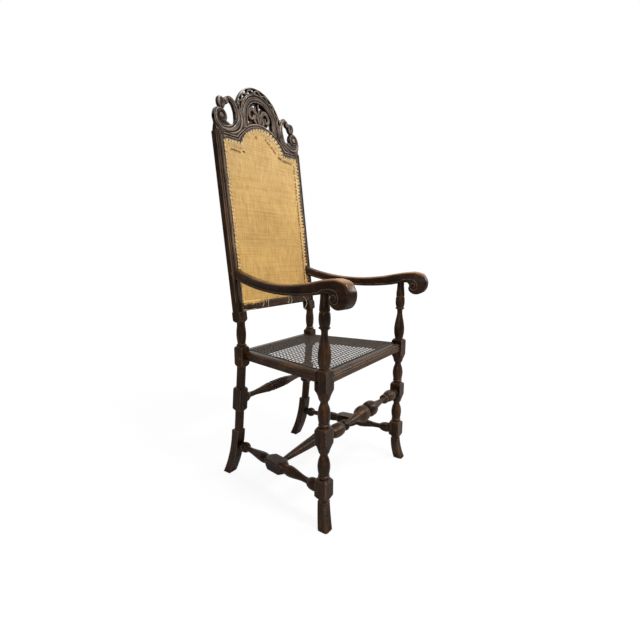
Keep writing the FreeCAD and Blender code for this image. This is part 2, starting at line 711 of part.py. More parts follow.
def crest_outline():
    """The crest seen from the front: opening arch, shoulders, volutes, buds and main arch."""
    outline = opening_edge(NOTHING)
    outline.line(opening_x, S.shoulder_height).line(opening_x, stile_length)
    outline.line(stile_outer_x, stile_length)
    volute_edge = volute_x + S.volute_radius
    outline.swing(volute_edge, volute_height, 0.6, 0.4)
    outline.swing(stile_outer_x - S.ear_waist_inset, S.shoulder_height + S.ear_waist_rise, 0.3, 0.7)
    outline.line(stile_outer_x - S.bud_edge_inset, S.shoulder_height + S.bud_edge_rise)
    outline.swing(stile_outer_x - S.bud_inset, S.shoulder_height + S.bud_rise, 0.3, 0.68)
    outline.swing(stile_outer_x - S.bud_root_inset, S.shoulder_height + S.bud_root_rise, 0.5, -0.3)
    foot_over = S.arch_foot_over_centre
    foot_x = (S.arch_radius * S.arch_radius - foot_over * foot_over).root()
    outline.line(foot_x, arch_centre + foot_over)
    outline.arc(S.arch_radius * 0.66, arch_centre + S.arch_radius * 0.75, 0, crest_top_height)
    return outline.doubled()


def crest_lip():
    """The lip behind the burlap, between the stiles' lips and under the opening's edge."""
    outline = opening_edge(S.groove_width)
    lip_x = opening_x - S.lip_width
    outline.line(lip_x, S.shoulder_height + S.groove_width).line(lip_x, S.shoulder_height - S.lip_width)
    return outline.back_along(opening_edge(-S.lip_width)).doubled()


def edge_groove():
    """A groove that follows the opening's edge and runs out over the stiles."""
    low, high = S.moulding_groove_set, S.moulding_groove_set + S.crest_groove
    outline = opening_edge(high)
    outline.line(stile_outer_x, S.shoulder_height + high).line(stile_outer_x, S.shoulder_height + low)
    return outline.back_along(opening_edge(low)).doubled()


def half_ring(outer, width):
    """A ring cut off level with the main arch's centre."""
    level, inner = arch_centre, outer - width
    outline = Outline(outer, level).arc(0, level + outer, -outer, level)
    return outline.line(-inner, level).arc(0, level + inner, inner, level)


def carved_field():
    """The recess between the reeded arch and the moulding over the opening."""
    centre, radius = arch_centre, S.field_radius
    outline = Outline(0, S.shoulder_height + S.opening_arch_rise + S.opening_moulding)
    outline.swing(radius * 0.93, centre - radius * 0.36, 0.5, 0.22)
    outline.arc(radius * 0.76, centre + radius * 0.65, 0, centre + radius)
    return outline.doubled()


def pierce(sketch, side):
    """The gap inside an ear's scroll, and a crescent through the carved field, on one side."""
    gap_x, gap_half = stile_outer_x - S.ear_gap_inset, S.ear_gap_width * 0.5
    low, high = S.shoulder_height + S.ear_gap_rise, S.shoulder_height + S.ear_gap_rise + S.ear_gap_length
    gap = Outline(gap_x * side, low)
    gap.arc((gap_x + gap_half) * side, between(low, high, 0.5), gap_x * side, high)
    draw(sketch, gap.arc((gap_x - gap_half) * side, between(low, high, 0.5), gap_x * side, low))
    spot = {name: (S.field_radius * across * side, arch_centre + S.field_radius * up)
            for name, (across, up) in CRESCENT_SHARES.items()}
    crescent = Outline(*spot["top"]).arc(*spot["outside"], *spot["low"])
    draw(sketch, crescent.arc(*spot["inside"], *spot["top"]))


def lattice(sketch):
    """Two staggered rows of holes round the main arch's outer band."""
    for index in range(LATTICE_HOLES):
        angle = math.pi * 0.5 * LATTICE_SPAN_SHARE * (2 * index / (LATTICE_HOLES - 1) - 1)
        radius = S.lattice_outer_radius if index % 2 else S.lattice_inner_radius
        draw_circle(sketch, radius * math.sin(angle), arch_centre + radius * math.cos(angle),
                    S.lattice_hole_radius)


def crest_rail():
    """The arched crest: thin carved upper part, thick lower band, and a lip for the burlap."""
    body = new_body("crest_rail_body")
    sketch = new_sketch(body, "crest_front", "XZ_Plane")
    draw(sketch, crest_outline())
    extrude(body, "Pad", sketch, S.stile_depth, backwards=True)
    sketch = new_sketch(body, "crest_lip", "XZ_Plane", -S.rebate_depth)
    draw(sketch, crest_lip())
    extrude(body, "Pad", sketch, S.stile_depth - S.rebate_depth, backwards=True)
    sketch = new_sketch(body, "crest_thin_back", "XZ_Plane", -S.stile_depth)
    reach = stile_outer_x + S.volute_radius
    draw(sketch, rectangle(-reach, thin_crest_height, reach, crest_top_height + S.overrun))
    extrude(body, "Pocket", sketch, S.stile_depth - S.crest_thickness, backwards=True)
    sketch = new_sketch(body, "crest_field", "XZ_Plane")
    draw(sketch, carved_field())
    for side in (-1, 1):
        draw_circle(sketch, volute_x * side, volute_height, S.volute_ring_radius)
    extrude(body, "Pocket", sketch, S.field_relief)
    sketch = new_sketch(body, "crest_grooves", "XZ_Plane")
    draw(sketch, half_ring(S.field_radius + S.reeded_band, S.crest_groove))
    draw(sketch, half_ring(S.field_radius + S.reeded_band * 0.5, S.crest_groove))
    draw(sketch, edge_groove())
    extrude(body, "Pocket", sketch, S.crest_groove)
    sketch = new_sketch(body, "crest_piercings", "XZ_Plane")
    for side in (-1, 1):
        pierce(sketch, side)
    lattice(sketch)
    extrude(body, "Pocket", sketch, S.stile_depth + S.overrun)
    sketch = new_sketch(body, "volute_eyes", "XZ_Plane", S.volute_eye_proud)
    for side in (-1, 1):
        draw_circle(sketch, volute_x * side, volute_height, S.volute_eye_radius)
    extrude(body, "Pad", sketch, S.volute_eye_proud + S.crest_thickness * 0.5, backwards=True)
    return back_place(body)


def tack_places():
    """Where the burlap is nailed, and to which piece: across the back and up its slope."""
    low, high = rail_top_height + S.tack_set, S.shoulder_height - S.tack_set
    side_x, step_x = opening_x - S.tack_set, S.opening_arch_half - S.tack_set
    for side in (-1, 1):
        for index in range(TACKS_UP_THE_STILE):
            share = index / (TACKS_UP_THE_STILE - 1)
            yield "rear_post", side_x * side, between(low + S.lip_width, high - S.lip_width, share)
        for index in range(TACKS_AT_THE_SHOULDER):
            share = (index + 0.5) / TACKS_AT_THE_SHOULDER
            yield "crest_rail", between(step_x, side_x, share) * side, high
    for index in range(TACKS_ALONG_THE_RAIL):
        yield "lower_back_rail", between(-side_x, side_x, index / (TACKS_ALONG_THE_RAIL - 1)), low
    for index in range(TACKS_ROUND_THE_ARCH):
        share = 2 * (index + 0.5) / TACKS_ROUND_THE_ARCH - 1
        rise = (S.opening_arch_rise - S.opening_arch_step) * (1 - share * share) ** 0.75
        yield "crest_rail", step_x * share, high + S.opening_arch_step + rise


def nail_burlap():
    """The tacks, each with a head on the cloth and a shank bored into the frame behind."""
    tacks = []
    face = S.rebate_depth - S.burlap_thickness
    for index, (piece, across, height) in enumerate(tack_places()):
        head = doc.addObject("Part::Cone", f"tack_head_{index}")
        head.setExpression("Radius1", S.tack_head_radius.text)
        head.setExpression("Radius2", (S.tack_head_radius * 0.5).text)
        head.setExpression("Height", S.tack_head_height.text)
        back_place(head, across, face, height, OUT_OF_BACK)
        shank = rod(f"tack_shank_{index}", S.tack_shank_radius, S.tack_shank_length)
        back_place(shank, across, face, height, INTO_BACK)
        tacks.append(fuse(f"tack_{index}", [head, shank]))
        bore = rod(f"tack_bore_{index}", S.tack_shank_radius + S.fit, S.tack_shank_length + S.fit)
        back_place(bore, across, face, height, INTO_BACK)
        socket("burlap_cover", bore)
        if piece != "rear_post" or across.number > 0:
            socket(piece, bore)
    return group("burlap_tack_set", tacks)


def burlap_cover():
    """The cloth over the back's opening, lying in the rebate on the frame's lips."""
    body = new_body("burlap_cover_body")
    clear = S.burlap_clearance
    sketch = new_sketch(body, "burlap_outline", "XZ_Plane", S.burlap_thickness - S.rebate_depth)
    outline = opening_edge(-clear)
    outline.line(opening_x - clear, S.shoulder_height - clear)
    outline.line(opening_x - clear, rail_top_height + clear)
    draw(sketch, outline.doubled())
    extrude(body, "Pad", sketch, S.burlap_thickness, backwards=True)
    return back_place(body)


def peg(bundle, pieces, name, x, y, z, pointing):
    """A wooden peg driven through a post into the tenon inside it, with its bore in both."""
    bore = rod(name + "_bore", S.peg_radius + S.fit, S.peg_length + S.fit, x, y, z, pointing)
    for piece in pieces:
        socket(piece, bore)
    bundle.append(rod(name, S.peg_radius, S.peg_length, x, y, z, pointing))
    return bore


def moulded_rail(inner, outer, sign):
    """Section of a seat rail, from its inner edge to its rounded and grooved outer edge."""
    rounding, groove = S.rail_round, S.rail_groove
    middle = between(rail_bottom, seat_top, 0.5)
    outline = Outline(inner * sign, rail_bottom).line(inner * sign, seat_top)
    outline.line((outer - rounding) * sign, seat_top)
    outline.swing(outer * sign, seat_top - rounding, 0.71, 0.29)
    outline.line(outer * sign, middle + groove).line((outer - groove) * sign, middle)
    outline.line(outer * sign, middle - groove).line(outer * sign, rail_bottom + groove)
    return outline.line((outer - groove) * sign, rail_bottom)


def cane_holes(body, name, count, start, end):
    """A row of holes down through a rail, in which the cane's strands are tied."""
    sketch = new_sketch(body, name, "XY_Plane", seat_top)
    for index in range(count):
        share = (index + 0.5) / count
        hole_x, hole_y = between(start[0], end[0], share), between(start[1], end[1], share)
        draw_circle(sketch, hole_x, hole_y, S.cane_hole_radius)
    extrude(body, "Pocket", sketch, S.seat_rail_thickness + S.overrun)


def cross_rail(name, post, sign, post_y, block_half, half_length, width, hole_count, bundle):
    """The front or back seat rail, moulded on its outer face, tenoned into both its posts."""
    body = new_body(name + "_body")
    inner = -block_half
    sketch = new_sketch(body, name + "_section", "YZ_Plane")
    draw(sketch, moulded_rail(inner, inner + width, sign))
    extrude(body, "Pad", sketch, half_length * 2, symmetric=True)
    sketch = new_sketch(body, name + "_tenons", "YZ_Plane")
    tenon_top = seat_top - S.rail_tenon_thickness * 0.5
    tenon_low = tenon_top - S.rail_tenon_thickness
    near = (inner + width * 0.5) * sign - S.rail_tenon_width * 0.5
    draw(sketch, rectangle(near, tenon_low, near + S.rail_tenon_width, tenon_top))
    extrude(body, "Pad", sketch, (half_length + S.rail_tenon_length) * 2, symmetric=True)
    hole_x, hole_y = half_length - S.cane_hole_set, (inner + S.cane_hole_set) * sign
    cane_holes(body, name + "_cane_holes", hole_count, (-hole_x, hole_y), (hole_x, hole_y))
    socket(post, box(name + "_mortise", S.rail_tenon_length + S.fit, S.rail_tenon_width + S.fit * 2,
                     S.rail_tenon_thickness + S.fit * 2, half_length, post_y + near - S.fit,
                     tenon_low - S.fit))
    bore = peg(bundle, (post, name), name + "_peg", half_length + S.peg_set, post_y + block_half * sign,
               between(tenon_low, tenon_top, 0.5), AGAINST_Y if sign > 0 else ALONG_Y)
    socket(name, mirror(name + "_peg_bore_mirrored", bore))
    return place(body, NOTHING, post_y)


def side_rail(bundle):
    """A side seat rail, which narrows the seat towards the back, tenoned into both posts."""
    body = new_body("side_rail_body")
    sections = []
    for y, outer in ((rail_front_y, side_rail_front), (rail_rear_y, side_rail_rear)):
        sketch = new_sketch(body, "side_rail_section", "XZ_Plane", -y)
        draw(sketch, moulded_rail(outer - S.side_rail_width, outer, 1))
        sections.append(sketch)
    run = body.newObject("PartDesign::AdditiveLoft", "side_rail_run")
    run.Profile = sections[0]
    run.Sections = sections[1:]
    run.Ruled = True
    tenon_low = rail_bottom + S.rail_tenon_thickness * 0.3
    for end, outer, block_inner, block, post, y, sign in (
            ("front", side_rail_front, front_x - front_half, S.front_block, "front_leg", rail_front_y, -1),
            ("rear", side_rail_rear, rear_x - rear_half, S.rear_block, "rear_post", rail_rear_y, 1)):
        width = (outer - block_inner) * 0.7
        low_x = between(block_inner, outer, 0.5) - width * 0.5
        sketch = new_sketch(body, f"side_rail_{end}_tenon", "XZ_Plane", -y)
        draw(sketch, rectangle(low_x, tenon_low, low_x + width, tenon_low + S.rail_tenon_thickness))
        extrude(body, "Pad", sketch, S.rail_tenon_length, backwards=sign > 0)
        low_y = y if sign > 0 else y - S.rail_tenon_length - S.fit
        socket(post, box(f"side_rail_{end}_mortise", width + S.fit * 2, S.rail_tenon_length + S.fit,
                         S.rail_tenon_thickness + S.fit * 2, low_x - S.fit, low_y, tenon_low - S.fit))
        peg(bundle, (post, "seat_rail"), f"side_rail_{end}_peg", block_inner + block, y + S.peg_set * sign,
            tenon_low + S.rail_tenon_thickness * 0.5, AGAINST_X)
    hole_set = S.cane_hole_set - S.side_rail_width
    cane_holes(body, "side_rail_cane_holes", CANE_HOLES_SIDE,
               (side_rail_front + hole_set, rail_front_y), (side_rail_rear + hole_set, rail_rear_y))
    return body


def octagon(x, y, z, half):
    """A regular eight-sided loop."""
    corner = half * math.tan(math.pi / 8)
    steps = ((corner, -half), (half, -corner), (half, corner), (corner, half),
             (-corner, half), (-half, corner), (-half, -corner), (-corner, -half))
    points = [FreeCAD.Vector(x + across, y + along, z) for across, along in steps]
    return Part.makePolygon(points + points[:1])


def cane_seat():
    """The woven cane as one thin sheet, holed in rows over the seat's opening."""
    net = doc.addObject("Part::Feature", "cane_net")
    front, rear, margin = rail_front_y.number, rail_rear_y.number, sheet.cane_margin
    front_inner = side_rail_front.number - sheet.side_rail_width
    rear_inner = side_rail_rear.number - sheet.side_rail_width
    front_reach = (front_x - front_half - S.burlap_clearance).number
    corners = ((front_reach, front - margin), (front_reach, front),
               (rear_inner + margin, rear), (rear_inner + margin, rear + margin))
    points = [FreeCAD.Vector(x, y, seat_top.number) for x, y in corners]
    points += [FreeCAD.Vector(-x, y, seat_top.number) for x, y in reversed(corners)]
    loops = [Part.makePolygon(points + points[:1])]
    row_pitch = (rear - front) / CANE_ROWS
    half = (min(sheet.cane_pitch, row_pitch) - sheet.cane_strand) * 0.5
    for row_index in range(CANE_ROWS):
        inner = front_inner + (rear_inner - front_inner) * (row_index + 1) / CANE_ROWS
        count = math.floor(2 * inner / sheet.cane_pitch)
        for index in range(count):
            x = (index - (count - 1) * 0.5) * sheet.cane_pitch
            loops.append(octagon(x, front + row_pitch * (row_index + 0.5), seat_top.number, half))
    face = Part.makeFace(Part.makeCompound(loops), "Part::FaceMakerBullseye")
    net.Shape = face.extrude(FreeCAD.Vector(0, 0, sheet.cane_thickness))
    return net


def turned_stretcher(name, profile, half, post, y, z):
    """A stretcher turned all along, from half its profile, with a round tenon at each end."""
    body = new_body(name + "_body")
    sketch = new_sketch(body, name + "_profile", "XZ_Plane")
    end = half + S.stretcher_tenon_length
    profile.line(S.stretcher_tenon_radius, half).line(S.stretcher_tenon_radius, end)
    whole = Outline(0, end).back_along(profile)
    for corner, via in zip(profile.corners[1:], profile.vias):
        if via is None:
            whole.line(corner[0], -corner[1])
        else:
            whole.arc(via[0], -via[1], corner[0], -corner[1])
    draw(sketch, whole.line(0, -end))
    turn(body, "Revolution", sketch)
    socket(post, rod(name + "_bore", S.stretcher_tenon_radius + S.fit, S.stretcher_tenon_length + S.fit,
                     half, y, z, ALONG_X))
    return place(body, NOTHING, y, z, *ALONG_X)


def front_stretcher():
    """High front stretcher: a ball, a ring and a cone at each end, and two bulbs between."""
    half = front_x - front_half
    ball_start = half - S.front_ball_length
    ring_start = ball_start - S.front_ring_length
    cone_start = ring_start - S.front_cone_length
    bulb_start = S.front_waist_length * 0.5
    profile = Outline(S.front_waist_radius, 0).line(S.front_waist_radius, bulb_start)
    profile.arc(S.front_bulb_radius, between(bulb_start, cone_start, 0.42),
                S.front_cone_end_radius, cone_start)
    profile.swing(S.front_cone_radius, ring_start, 0.6, 0.5)
    profile.line(S.ring_root, ring_start)
    profile.bead(S.front_ring_radius, S.front_ring_length)
    profile.line(S.cove_radius, ball_start + S.cove_height)
    profile.arc(S.front_ball_radius, between(ball_start, half, 0.5), S.ring_root, half)
    return turned_stretcher("front_stretcher", profile, half, "front_leg", leg_y, front_stretcher_height)


def rear_stretcher():
    """High rear stretcher: tapers that swell to a ringed barrel."""
    half = rear_x - rear_half
    collar_start = half - S.rear_collar_length
    taper_start = collar_start - S.rear_taper_length
    profile = Outline(S.rear_barrel_radius, 0)
    profile.swing(S.rear_taper_radius, taper_start - S.rear_ring_length, 0.3, 0.6)
    profile.bead(S.rear_ring_radius, S.rear_ring_length)
    profile.swing(S.rear_neck_radius, collar_start, 0.35, 0.5)
    profile.swing(S.rear_collar_radius, half, 0.9, 0.4)
    drop = S.stretcher_block_drop + S.stretcher_block_length * 0.5
    y = rear_y + drop * S.rake_run / rake_line
    z = rake_height - drop * S.rake_rise / rake_line
    return turned_stretcher("rear_stretcher", profile, half, "rear_post", y, z)


def lay_to_rear(name, item, start=NOTHING):
    """Lay an upright object down on the side stretcher's line, a distance from the front leg."""
    place(item, NOTHING, start, NOTHING, *ALONG_Y)
    return place(group(name, [item]), front_x, leg_y, side_stretcher_height,
                 (0, 0, 1), f"atan({splay.text} / {side_run.text})")


def side_stretcher(foot):
    """Low side stretcher: turned ends and a square middle block that holds the medial one."""
    body = new_body("side_stretcher_body")
    over = S.side_block * 0.75
    start = front_half * side_line / side_run
    end = side_line - S.rear_foot_depth * 0.3
    block_low = S.side_block_middle - S.side_block_length * 0.5
    block_high = block_low + S.side_block_length
    root = S.side_collar_radius * 0.8
    front_zone = Outline(over, -S.overrun).line(root, -S.overrun).line(root, start)
    front_zone.bead(S.side_collar_radius, S.side_collar_length)
    front_zone.line(S.side_neck_radius, start + S.side_collar_length)
    front_zone.line(S.side_neck_radius, start + S.side_collar_length + S.side_neck_length)
    front_zone.swing(S.side_swell_radius, block_low - S.side_neck_length, 0.62, 0.5)
    up_to_block(front_zone, over, S.side_swell_radius * 0.9, block_low, S.shoulder_drop)
    rear_zone = above_block(over, block_high, S.side_swell_radius * 0.9)
    rear_zone.line(S.side_swell_radius, block_high + S.side_neck_length)
    rear_zone.swing(S.side_neck_radius, end - S.side_collar_length, 0.38, 0.5)
    rear_zone.line(root, end - S.side_collar_length)
    rear_zone.bead(S.side_collar_radius, S.side_collar_length)
    rear_zone.line(root, side_line + S.overrun).line(over, side_line + S.overrun)
    stock(body, "side_stretcher", S.side_block, NOTHING, side_line, [front_zone, rear_zone])
    front_block = box("low_block_space", S.front_block, S.front_block, low_block_top,
                      front_x - front_half, leg_y - front_half)
    laid = lay_to_rear("side_stretcher_laid", body)
    trimmed = cut("side_stretcher_between_legs", laid, [front_block, foot])
    tenon_start, radius = start - S.stretcher_tenon_length, S.stretcher_tenon_radius
    tenon = rod("side_tenon", radius, side_line - tenon_start - S.fit)
    bore = rod("side_bore", radius + S.fit, side_line - tenon_start + S.fit)
    bore = lay_to_rear("side_bore_laid", bore, tenon_start - S.fit)
    socket("front_leg", bore)
    socket("rear_post", bore)
    return fuse("side_stretcher_whole", [trimmed, lay_to_rear("side_tenon_laid", tenon, tenon_start)])


def medial_stretcher():
    """The stretcher across the middle, let into the side stretchers' square blocks."""
    block_x = front_x - S.side_block_middle * splay / side_line
    block_y = leg_y + S.side_block_middle * side_run / side_line
    face_x = block_x - S.side_block * 0.5 * side_line / side_run
    start = face_x - S.side_block * 0.5
    socket("side_stretcher", rod("medial_bore", S.medial_end_radius + S.fit,
                                 face_x + S.medial_bore_depth - start,
                                 start, block_y, side_stretcher_height, ALONG_X))
    body = new_body("medial_stretcher_body")
    sketch = new_sketch(body, "medial_stretcher_profile", "XZ_Plane")
    end, half_ring_length = face_x + S.medial_bore_depth - S.fit, S.medial_ring_length * 0.5
    outline = Outline(0, end).line(S.medial_end_radius, end).line(S.medial_end_radius, start)
    outline.swing(S.medial_swell_radius, half_ring_length, 0.55, 0.5)
    outline.arc(S.medial_ring_radius, 0, S.medial_swell_radius, -half_ring_length)
    outline.swing(S.medial_end_radius, -start, 0.45, 0.5)
    draw(sketch, outline.line(S.medial_end_radius, -end).line(0, -end))
    turn(body, "Revolution", sketch)
    return place(body, NOTHING, block_y, side_stretcher_height, *ALONG_X)


def arm(stile_bar, bundle):
    """A moulded arm that dips, rises over the front leg and rolls down into a scroll."""
    body = new_body("arm_body")
    sketch = new_sketch(body, "arm_side", "YZ_Plane")
    centre = S.scroll_radius - S.scroll_reach
    scroll_height = arm_level - S.scroll_drop
    rear_top, dip_top = arm_level + S.arm_rear_rise, arm_level + S.arm_dip_rise
    rear_bottom, dip_bottom = rear_top - S.arm_thickness, dip_top - S.arm_dip_thickness
    outline = Outline(S.arm_run, rear_bottom).line(S.arm_run, rear_top)
    outline.arc(S.arm_dip_set, dip_top, S.arm_crown_set, arm_level + S.arm_crown_rise)
    outline.swing(centre, scroll_height + S.scroll_radius, 0.5, 0.66)
    outline.arc(-S.scroll_reach, scroll_height, centre, scroll_height - S.scroll_radius)
    outline.swing(-S.throat_set, arm_level - S.throat_drop, 0.72, 0.3)
    outline.arc(S.arm_dip_set, dip_bottom, S.arm_run, rear_bottom)
    draw(sketch, outline)
    board = extrude(body, "Pad", sketch, S.arm_width, symmetric=True)
    doc.recompute()
    top_edges = []
    for index, edge in enumerate(board.Shape.Edges, start=1):
        middle = edge.valueAt((edge.FirstParameter + edge.LastParameter) * 0.5)
        run = abs(edge.Vertexes[0].Point.y - edge.Vertexes[-1].Point.y)
        if run > sheet.throat_set and middle.z > dip_bottom.number + sheet.arm_edge_round:
            top_edges.append(f"Edge{index}")
    rounded = body.newObject("PartDesign::Fillet", "arm_rounded_top")
    rounded.Base = (board, top_edges)
    rounded.setExpression("Radius", S.arm_edge_round.text)
    sketch = new_sketch(body, "arm_scroll_eye", "YZ_Plane")
    draw_circle(sketch, centre, scroll_height, S.scroll_eye_radius)
    extrude(body, "Pad", sketch, S.arm_width + S.scroll_eye_proud * 2, symmetric=True)
    place(body, front_x, leg_y, NOTHING, (0, 0, 1), f"atan({splay.text} / {S.leg_depth.text})")
    behind = back_place(box("behind_the_stile", S.arm_run, S.arm_run, S.arm_run),
                        rear_x - S.arm_run * 0.5, S.front_set)
    trimmed = cut("arm_scribed_to_stile", body, [behind, stile_bar])
    height = (between(rear_bottom, rear_top, 0.5) - back_foot_height) / lean_cosine
    low, near_x = height - S.arm_tenon_height * 0.5, rear_x - S.arm_tenon_width * 0.5
    tenon = box("arm_tenon", S.arm_tenon_width, S.arm_tenon_length * 2, S.arm_tenon_height)
    back_place(tenon, near_x, -S.arm_tenon_length, low)
    mortise = box("arm_mortise", S.arm_tenon_width + S.fit * 2, S.arm_tenon_length * 2,
                  S.arm_tenon_height + S.fit * 2)
    back_place(mortise, near_x - S.fit, S.fit - S.arm_tenon_length, low - S.fit)
    socket("rear_post", mortise)
    peg_length = stile_outer_x - rear_x + S.arm_tenon_width * 0.3
    bore = rod("arm_peg_bore", S.peg_radius + S.fit, peg_length + S.fit)
    back_place(bore, stile_outer_x, S.arm_tenon_length * 0.6, height, AGAINST_X)
    driven = rod("arm_peg", S.peg_radius, peg_length)
    bundle.append(back_place(driven, stile_outer_x, S.arm_tenon_length * 0.6, height, AGAINST_X))
    socket("rear_post", bore)
    socket("arm", bore)
    neck = arm_level - vase_top
    socket("arm", rod("arm_leg_housing", S.vase_top_radius + S.fit, neck, front_x, leg_y, vase_top))
    socket("arm", rod("arm_leg_bore", S.leg_tenon_radius + S.fit, S.leg_tenon_length + neck + S.fit,
                      front_x, leg_y, vase_top))
    return fuse("arm_whole", [trimmed, tenon])


seat_pegs, back_pegs, arm_pegs = [], [], []
foot_of_post, stile_of_post = rear_foot(), stile()
crest_joint(back_pegs)
rail_joint(back_pegs)
tacks = nail_burlap()
left_arm = arm(stile_of_post, arm_pegs)
left_rail = side_rail(seat_pegs)
front_rail = cross_rail("seat_rail_front", "front_leg", -1, leg_y, front_half, front_x - front_half,
                        front_half + S.front_rail_set, CANE_HOLES_FRONT, seat_pegs)
back_rail = cross_rail("seat_rail_back", "rear_post", 1, rear_y, rear_half, rear_x - rear_half,
                       S.back_rail_width, CANE_HOLES_BACK, seat_pegs)
high_front, high_rear = front_stretcher(), rear_stretcher()
low_side, low_middle = side_stretcher(foot_of_post), medial_stretcher()
post = fuse("rear_post_whole", [foot_of_post, lower_shaft(), seat_block(), stile_block(), stile_of_post])

finish_pair("front_leg", front_leg())
finish_pair("rear_post", post)
finish_pair("seat_rail", left_rail)
finish_pair("side_stretcher", low_side)
finish_pair("arm", left_arm)
finish("seat_rail_front", front_rail)
finish("seat_rail_back", back_rail)
finish("cane_seat", cane_seat())
finish("front_stretcher", high_front)
finish("rear_stretcher", high_rear)
finish("medial_stretcher", low_middle)
finish("crest_rail", crest_rail())
finish("lower_back_rail", lower_back_rail())
finish("burlap_cover", burlap_cover())
finish("burlap_tacks", tacks)
for name, bundle in (("seat_frame_pegs", seat_pegs), ("back_frame_pegs", back_pegs), ("arm_pegs", arm_pegs)):
    left_side = group(name + "_left_side", bundle)
    finish(name, group(name + "_both_sides", [left_side, mirror(name + "_right_side", left_side)]))

doc.recompute()
for item in doc.Objects:
    if "Invalid" in item.State or "Error" in item.State:
        raise RuntimeError(f"{item.Label} did not recompute: {item.State}")
for item in nodes:
    if item.Shape.isNull() or not item.Shape.isValid():
        raise RuntimeError(f"{item.Label} is not a valid shape")
os.makedirs("parts", exist_ok=True)
for item in nodes:
    item.Shape.exportStep(f"parts/{item.Label}.step")
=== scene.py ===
import math
import random

import bpy
import numpy as np
from mathutils import Matrix, Vector


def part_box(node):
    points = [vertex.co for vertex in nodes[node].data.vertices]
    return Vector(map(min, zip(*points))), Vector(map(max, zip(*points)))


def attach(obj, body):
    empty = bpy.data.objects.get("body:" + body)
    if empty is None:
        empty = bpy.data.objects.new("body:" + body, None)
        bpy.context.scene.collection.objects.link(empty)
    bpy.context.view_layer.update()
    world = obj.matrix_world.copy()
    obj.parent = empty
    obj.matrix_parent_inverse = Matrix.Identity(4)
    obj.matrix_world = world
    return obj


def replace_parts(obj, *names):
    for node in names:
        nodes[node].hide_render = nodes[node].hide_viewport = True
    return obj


# A high-backed open armchair. The frame's joined pieces are dressed in wood, and the pieces that the
# photograph shows in more detail are made here: the carved crest, the woven cane, the burlap with its
# hem and threads, the front legs, the stretchers, the seat rails, the arms, and beads on the stiles.
# Millimetres in the making of a piece, metres in its mesh. +Z is up, the chair faces -Y, left is +X.

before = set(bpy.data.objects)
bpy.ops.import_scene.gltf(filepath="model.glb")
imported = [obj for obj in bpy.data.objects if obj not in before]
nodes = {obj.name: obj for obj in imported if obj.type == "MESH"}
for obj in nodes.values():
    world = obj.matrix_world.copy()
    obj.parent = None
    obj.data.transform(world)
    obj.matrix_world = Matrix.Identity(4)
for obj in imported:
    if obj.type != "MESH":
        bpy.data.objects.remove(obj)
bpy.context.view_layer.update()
chance = random.Random(7)

MM = 0.001
SIDES = ((1, "left"), (-1, "right"))

# The photograph's camera
IMAGE_SIZE = 640
CAMERA_PLACE = (-1.1069, -0.7710, 0.774)
CAMERA_YAW = math.radians(-55.2157)
CAMERA_PITCH = math.radians(-9.4034)
CAMERA_ROLL = math.radians(0.1768)
FOCAL_PIXELS = 400.07
SENSOR_WIDTH = 36

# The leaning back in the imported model: its foot, (back, up), and sizes up its slope and across it
BACK_FOOT = (171.6, 560)
CREST_TOP = 784
CREST_THICKNESS = 16
STILE_DEPTH = 26
REBATE_DEPTH = 9
OPENING_HALF = 180
STILE_OUTER = 208
SHOULDER = 572
STILE_TOP = 600
CREST_BACK_RUN = 27
RAIL_TOP = 55
OPENING_ARCH_HALF = 101
OPENING_ARCH_STEP = 8
OPENING_ARCH_TOP = 641
LEAN = math.asin((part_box("crest_rail")[1].y / MM - CREST_THICKNESS - BACK_FOOT[0]) / CREST_TOP)

# The circle of the arch over the opening
arch_rise = OPENING_ARCH_TOP - SHOULDER - OPENING_ARCH_STEP
OPENING_ARCH_RADIUS = (OPENING_ARCH_HALF ** 2 + arch_rise ** 2) / (2 * arch_rise)
OPENING_ARCH_CENTRE = OPENING_ARCH_TOP - OPENING_ARCH_RADIUS


def on_back(x, depth, height):
    """A place in the leaning back, in metres: across, behind its front plane, and up its slope."""
    y = BACK_FOOT[0] + depth * math.cos(LEAN) + height * math.sin(LEAN)
    z = BACK_FOOT[1] + height * math.cos(LEAN) - depth * math.sin(LEAN)
    return x * MM, y * MM, z * MM


def new_piece(name, points, faces, material, crease):
    """A mesh piece that rides on the chair, shaded smooth up to a crease angle in degrees."""
    mesh = bpy.data.meshes.new(name)
    mesh.from_pydata(points, [], faces)
    mesh.validate()
    mesh.polygons.foreach_set("use_smooth", [True] * len(mesh.polygons))
    mesh.set_sharp_from_angle(angle=math.radians(crease))
    mesh.materials.append(material)
    piece = bpy.data.objects.new(name, mesh)
    bpy.context.scene.collection.objects.link(piece)
    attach(piece, "root")
    return piece


# Places along lines, and faces over rows of points

def between(start, end, share):
    """The place at a share of the way from one place to another."""
    return tuple(a + (b - a) * share for a, b in zip(start, end))


def neighbours(line, index):
    """The places before and after one in a line, where an end is its own neighbour."""
    return line[max(index - 1, 0)], line[min(index + 1, len(line) - 1)]


def heading(line, index):
    """The direction in which a flat line runs at one of its places."""
    before, after = neighbours(line, index)
    run = math.hypot(after[0] - before[0], after[1] - before[1]) or 1
    return (after[0] - before[0]) / run, (after[1] - before[1]) / run


def ring_quads(first, rings, size):
    """Quads between closed rings of points that follow each other."""
    quads = []
    for start in range(first, first + (rings - 1) * size, size):
        for k in range(size):
            a, b = start + k, start + (k + 1) % size
            quads.append((a, b, b + size, a + size))
    return quads


def tube_faces(first, rings, size):
    """Quads between closed rings of points, and a cap at each end."""
    last = first + (rings - 1) * size
    caps = [tuple(reversed(range(first, first + size))), tuple(range(last, last + size))]
    return ring_quads(first, rings, size) + caps


def grid_faces(columns, size):
    """Quads between columns of points, each with the same number of them."""
    return [(a, a + size, a + size + 1, a + 1)
            for column in range(columns - 1) for a in range(column * size, (column + 1) * size - 1)]


# Materials

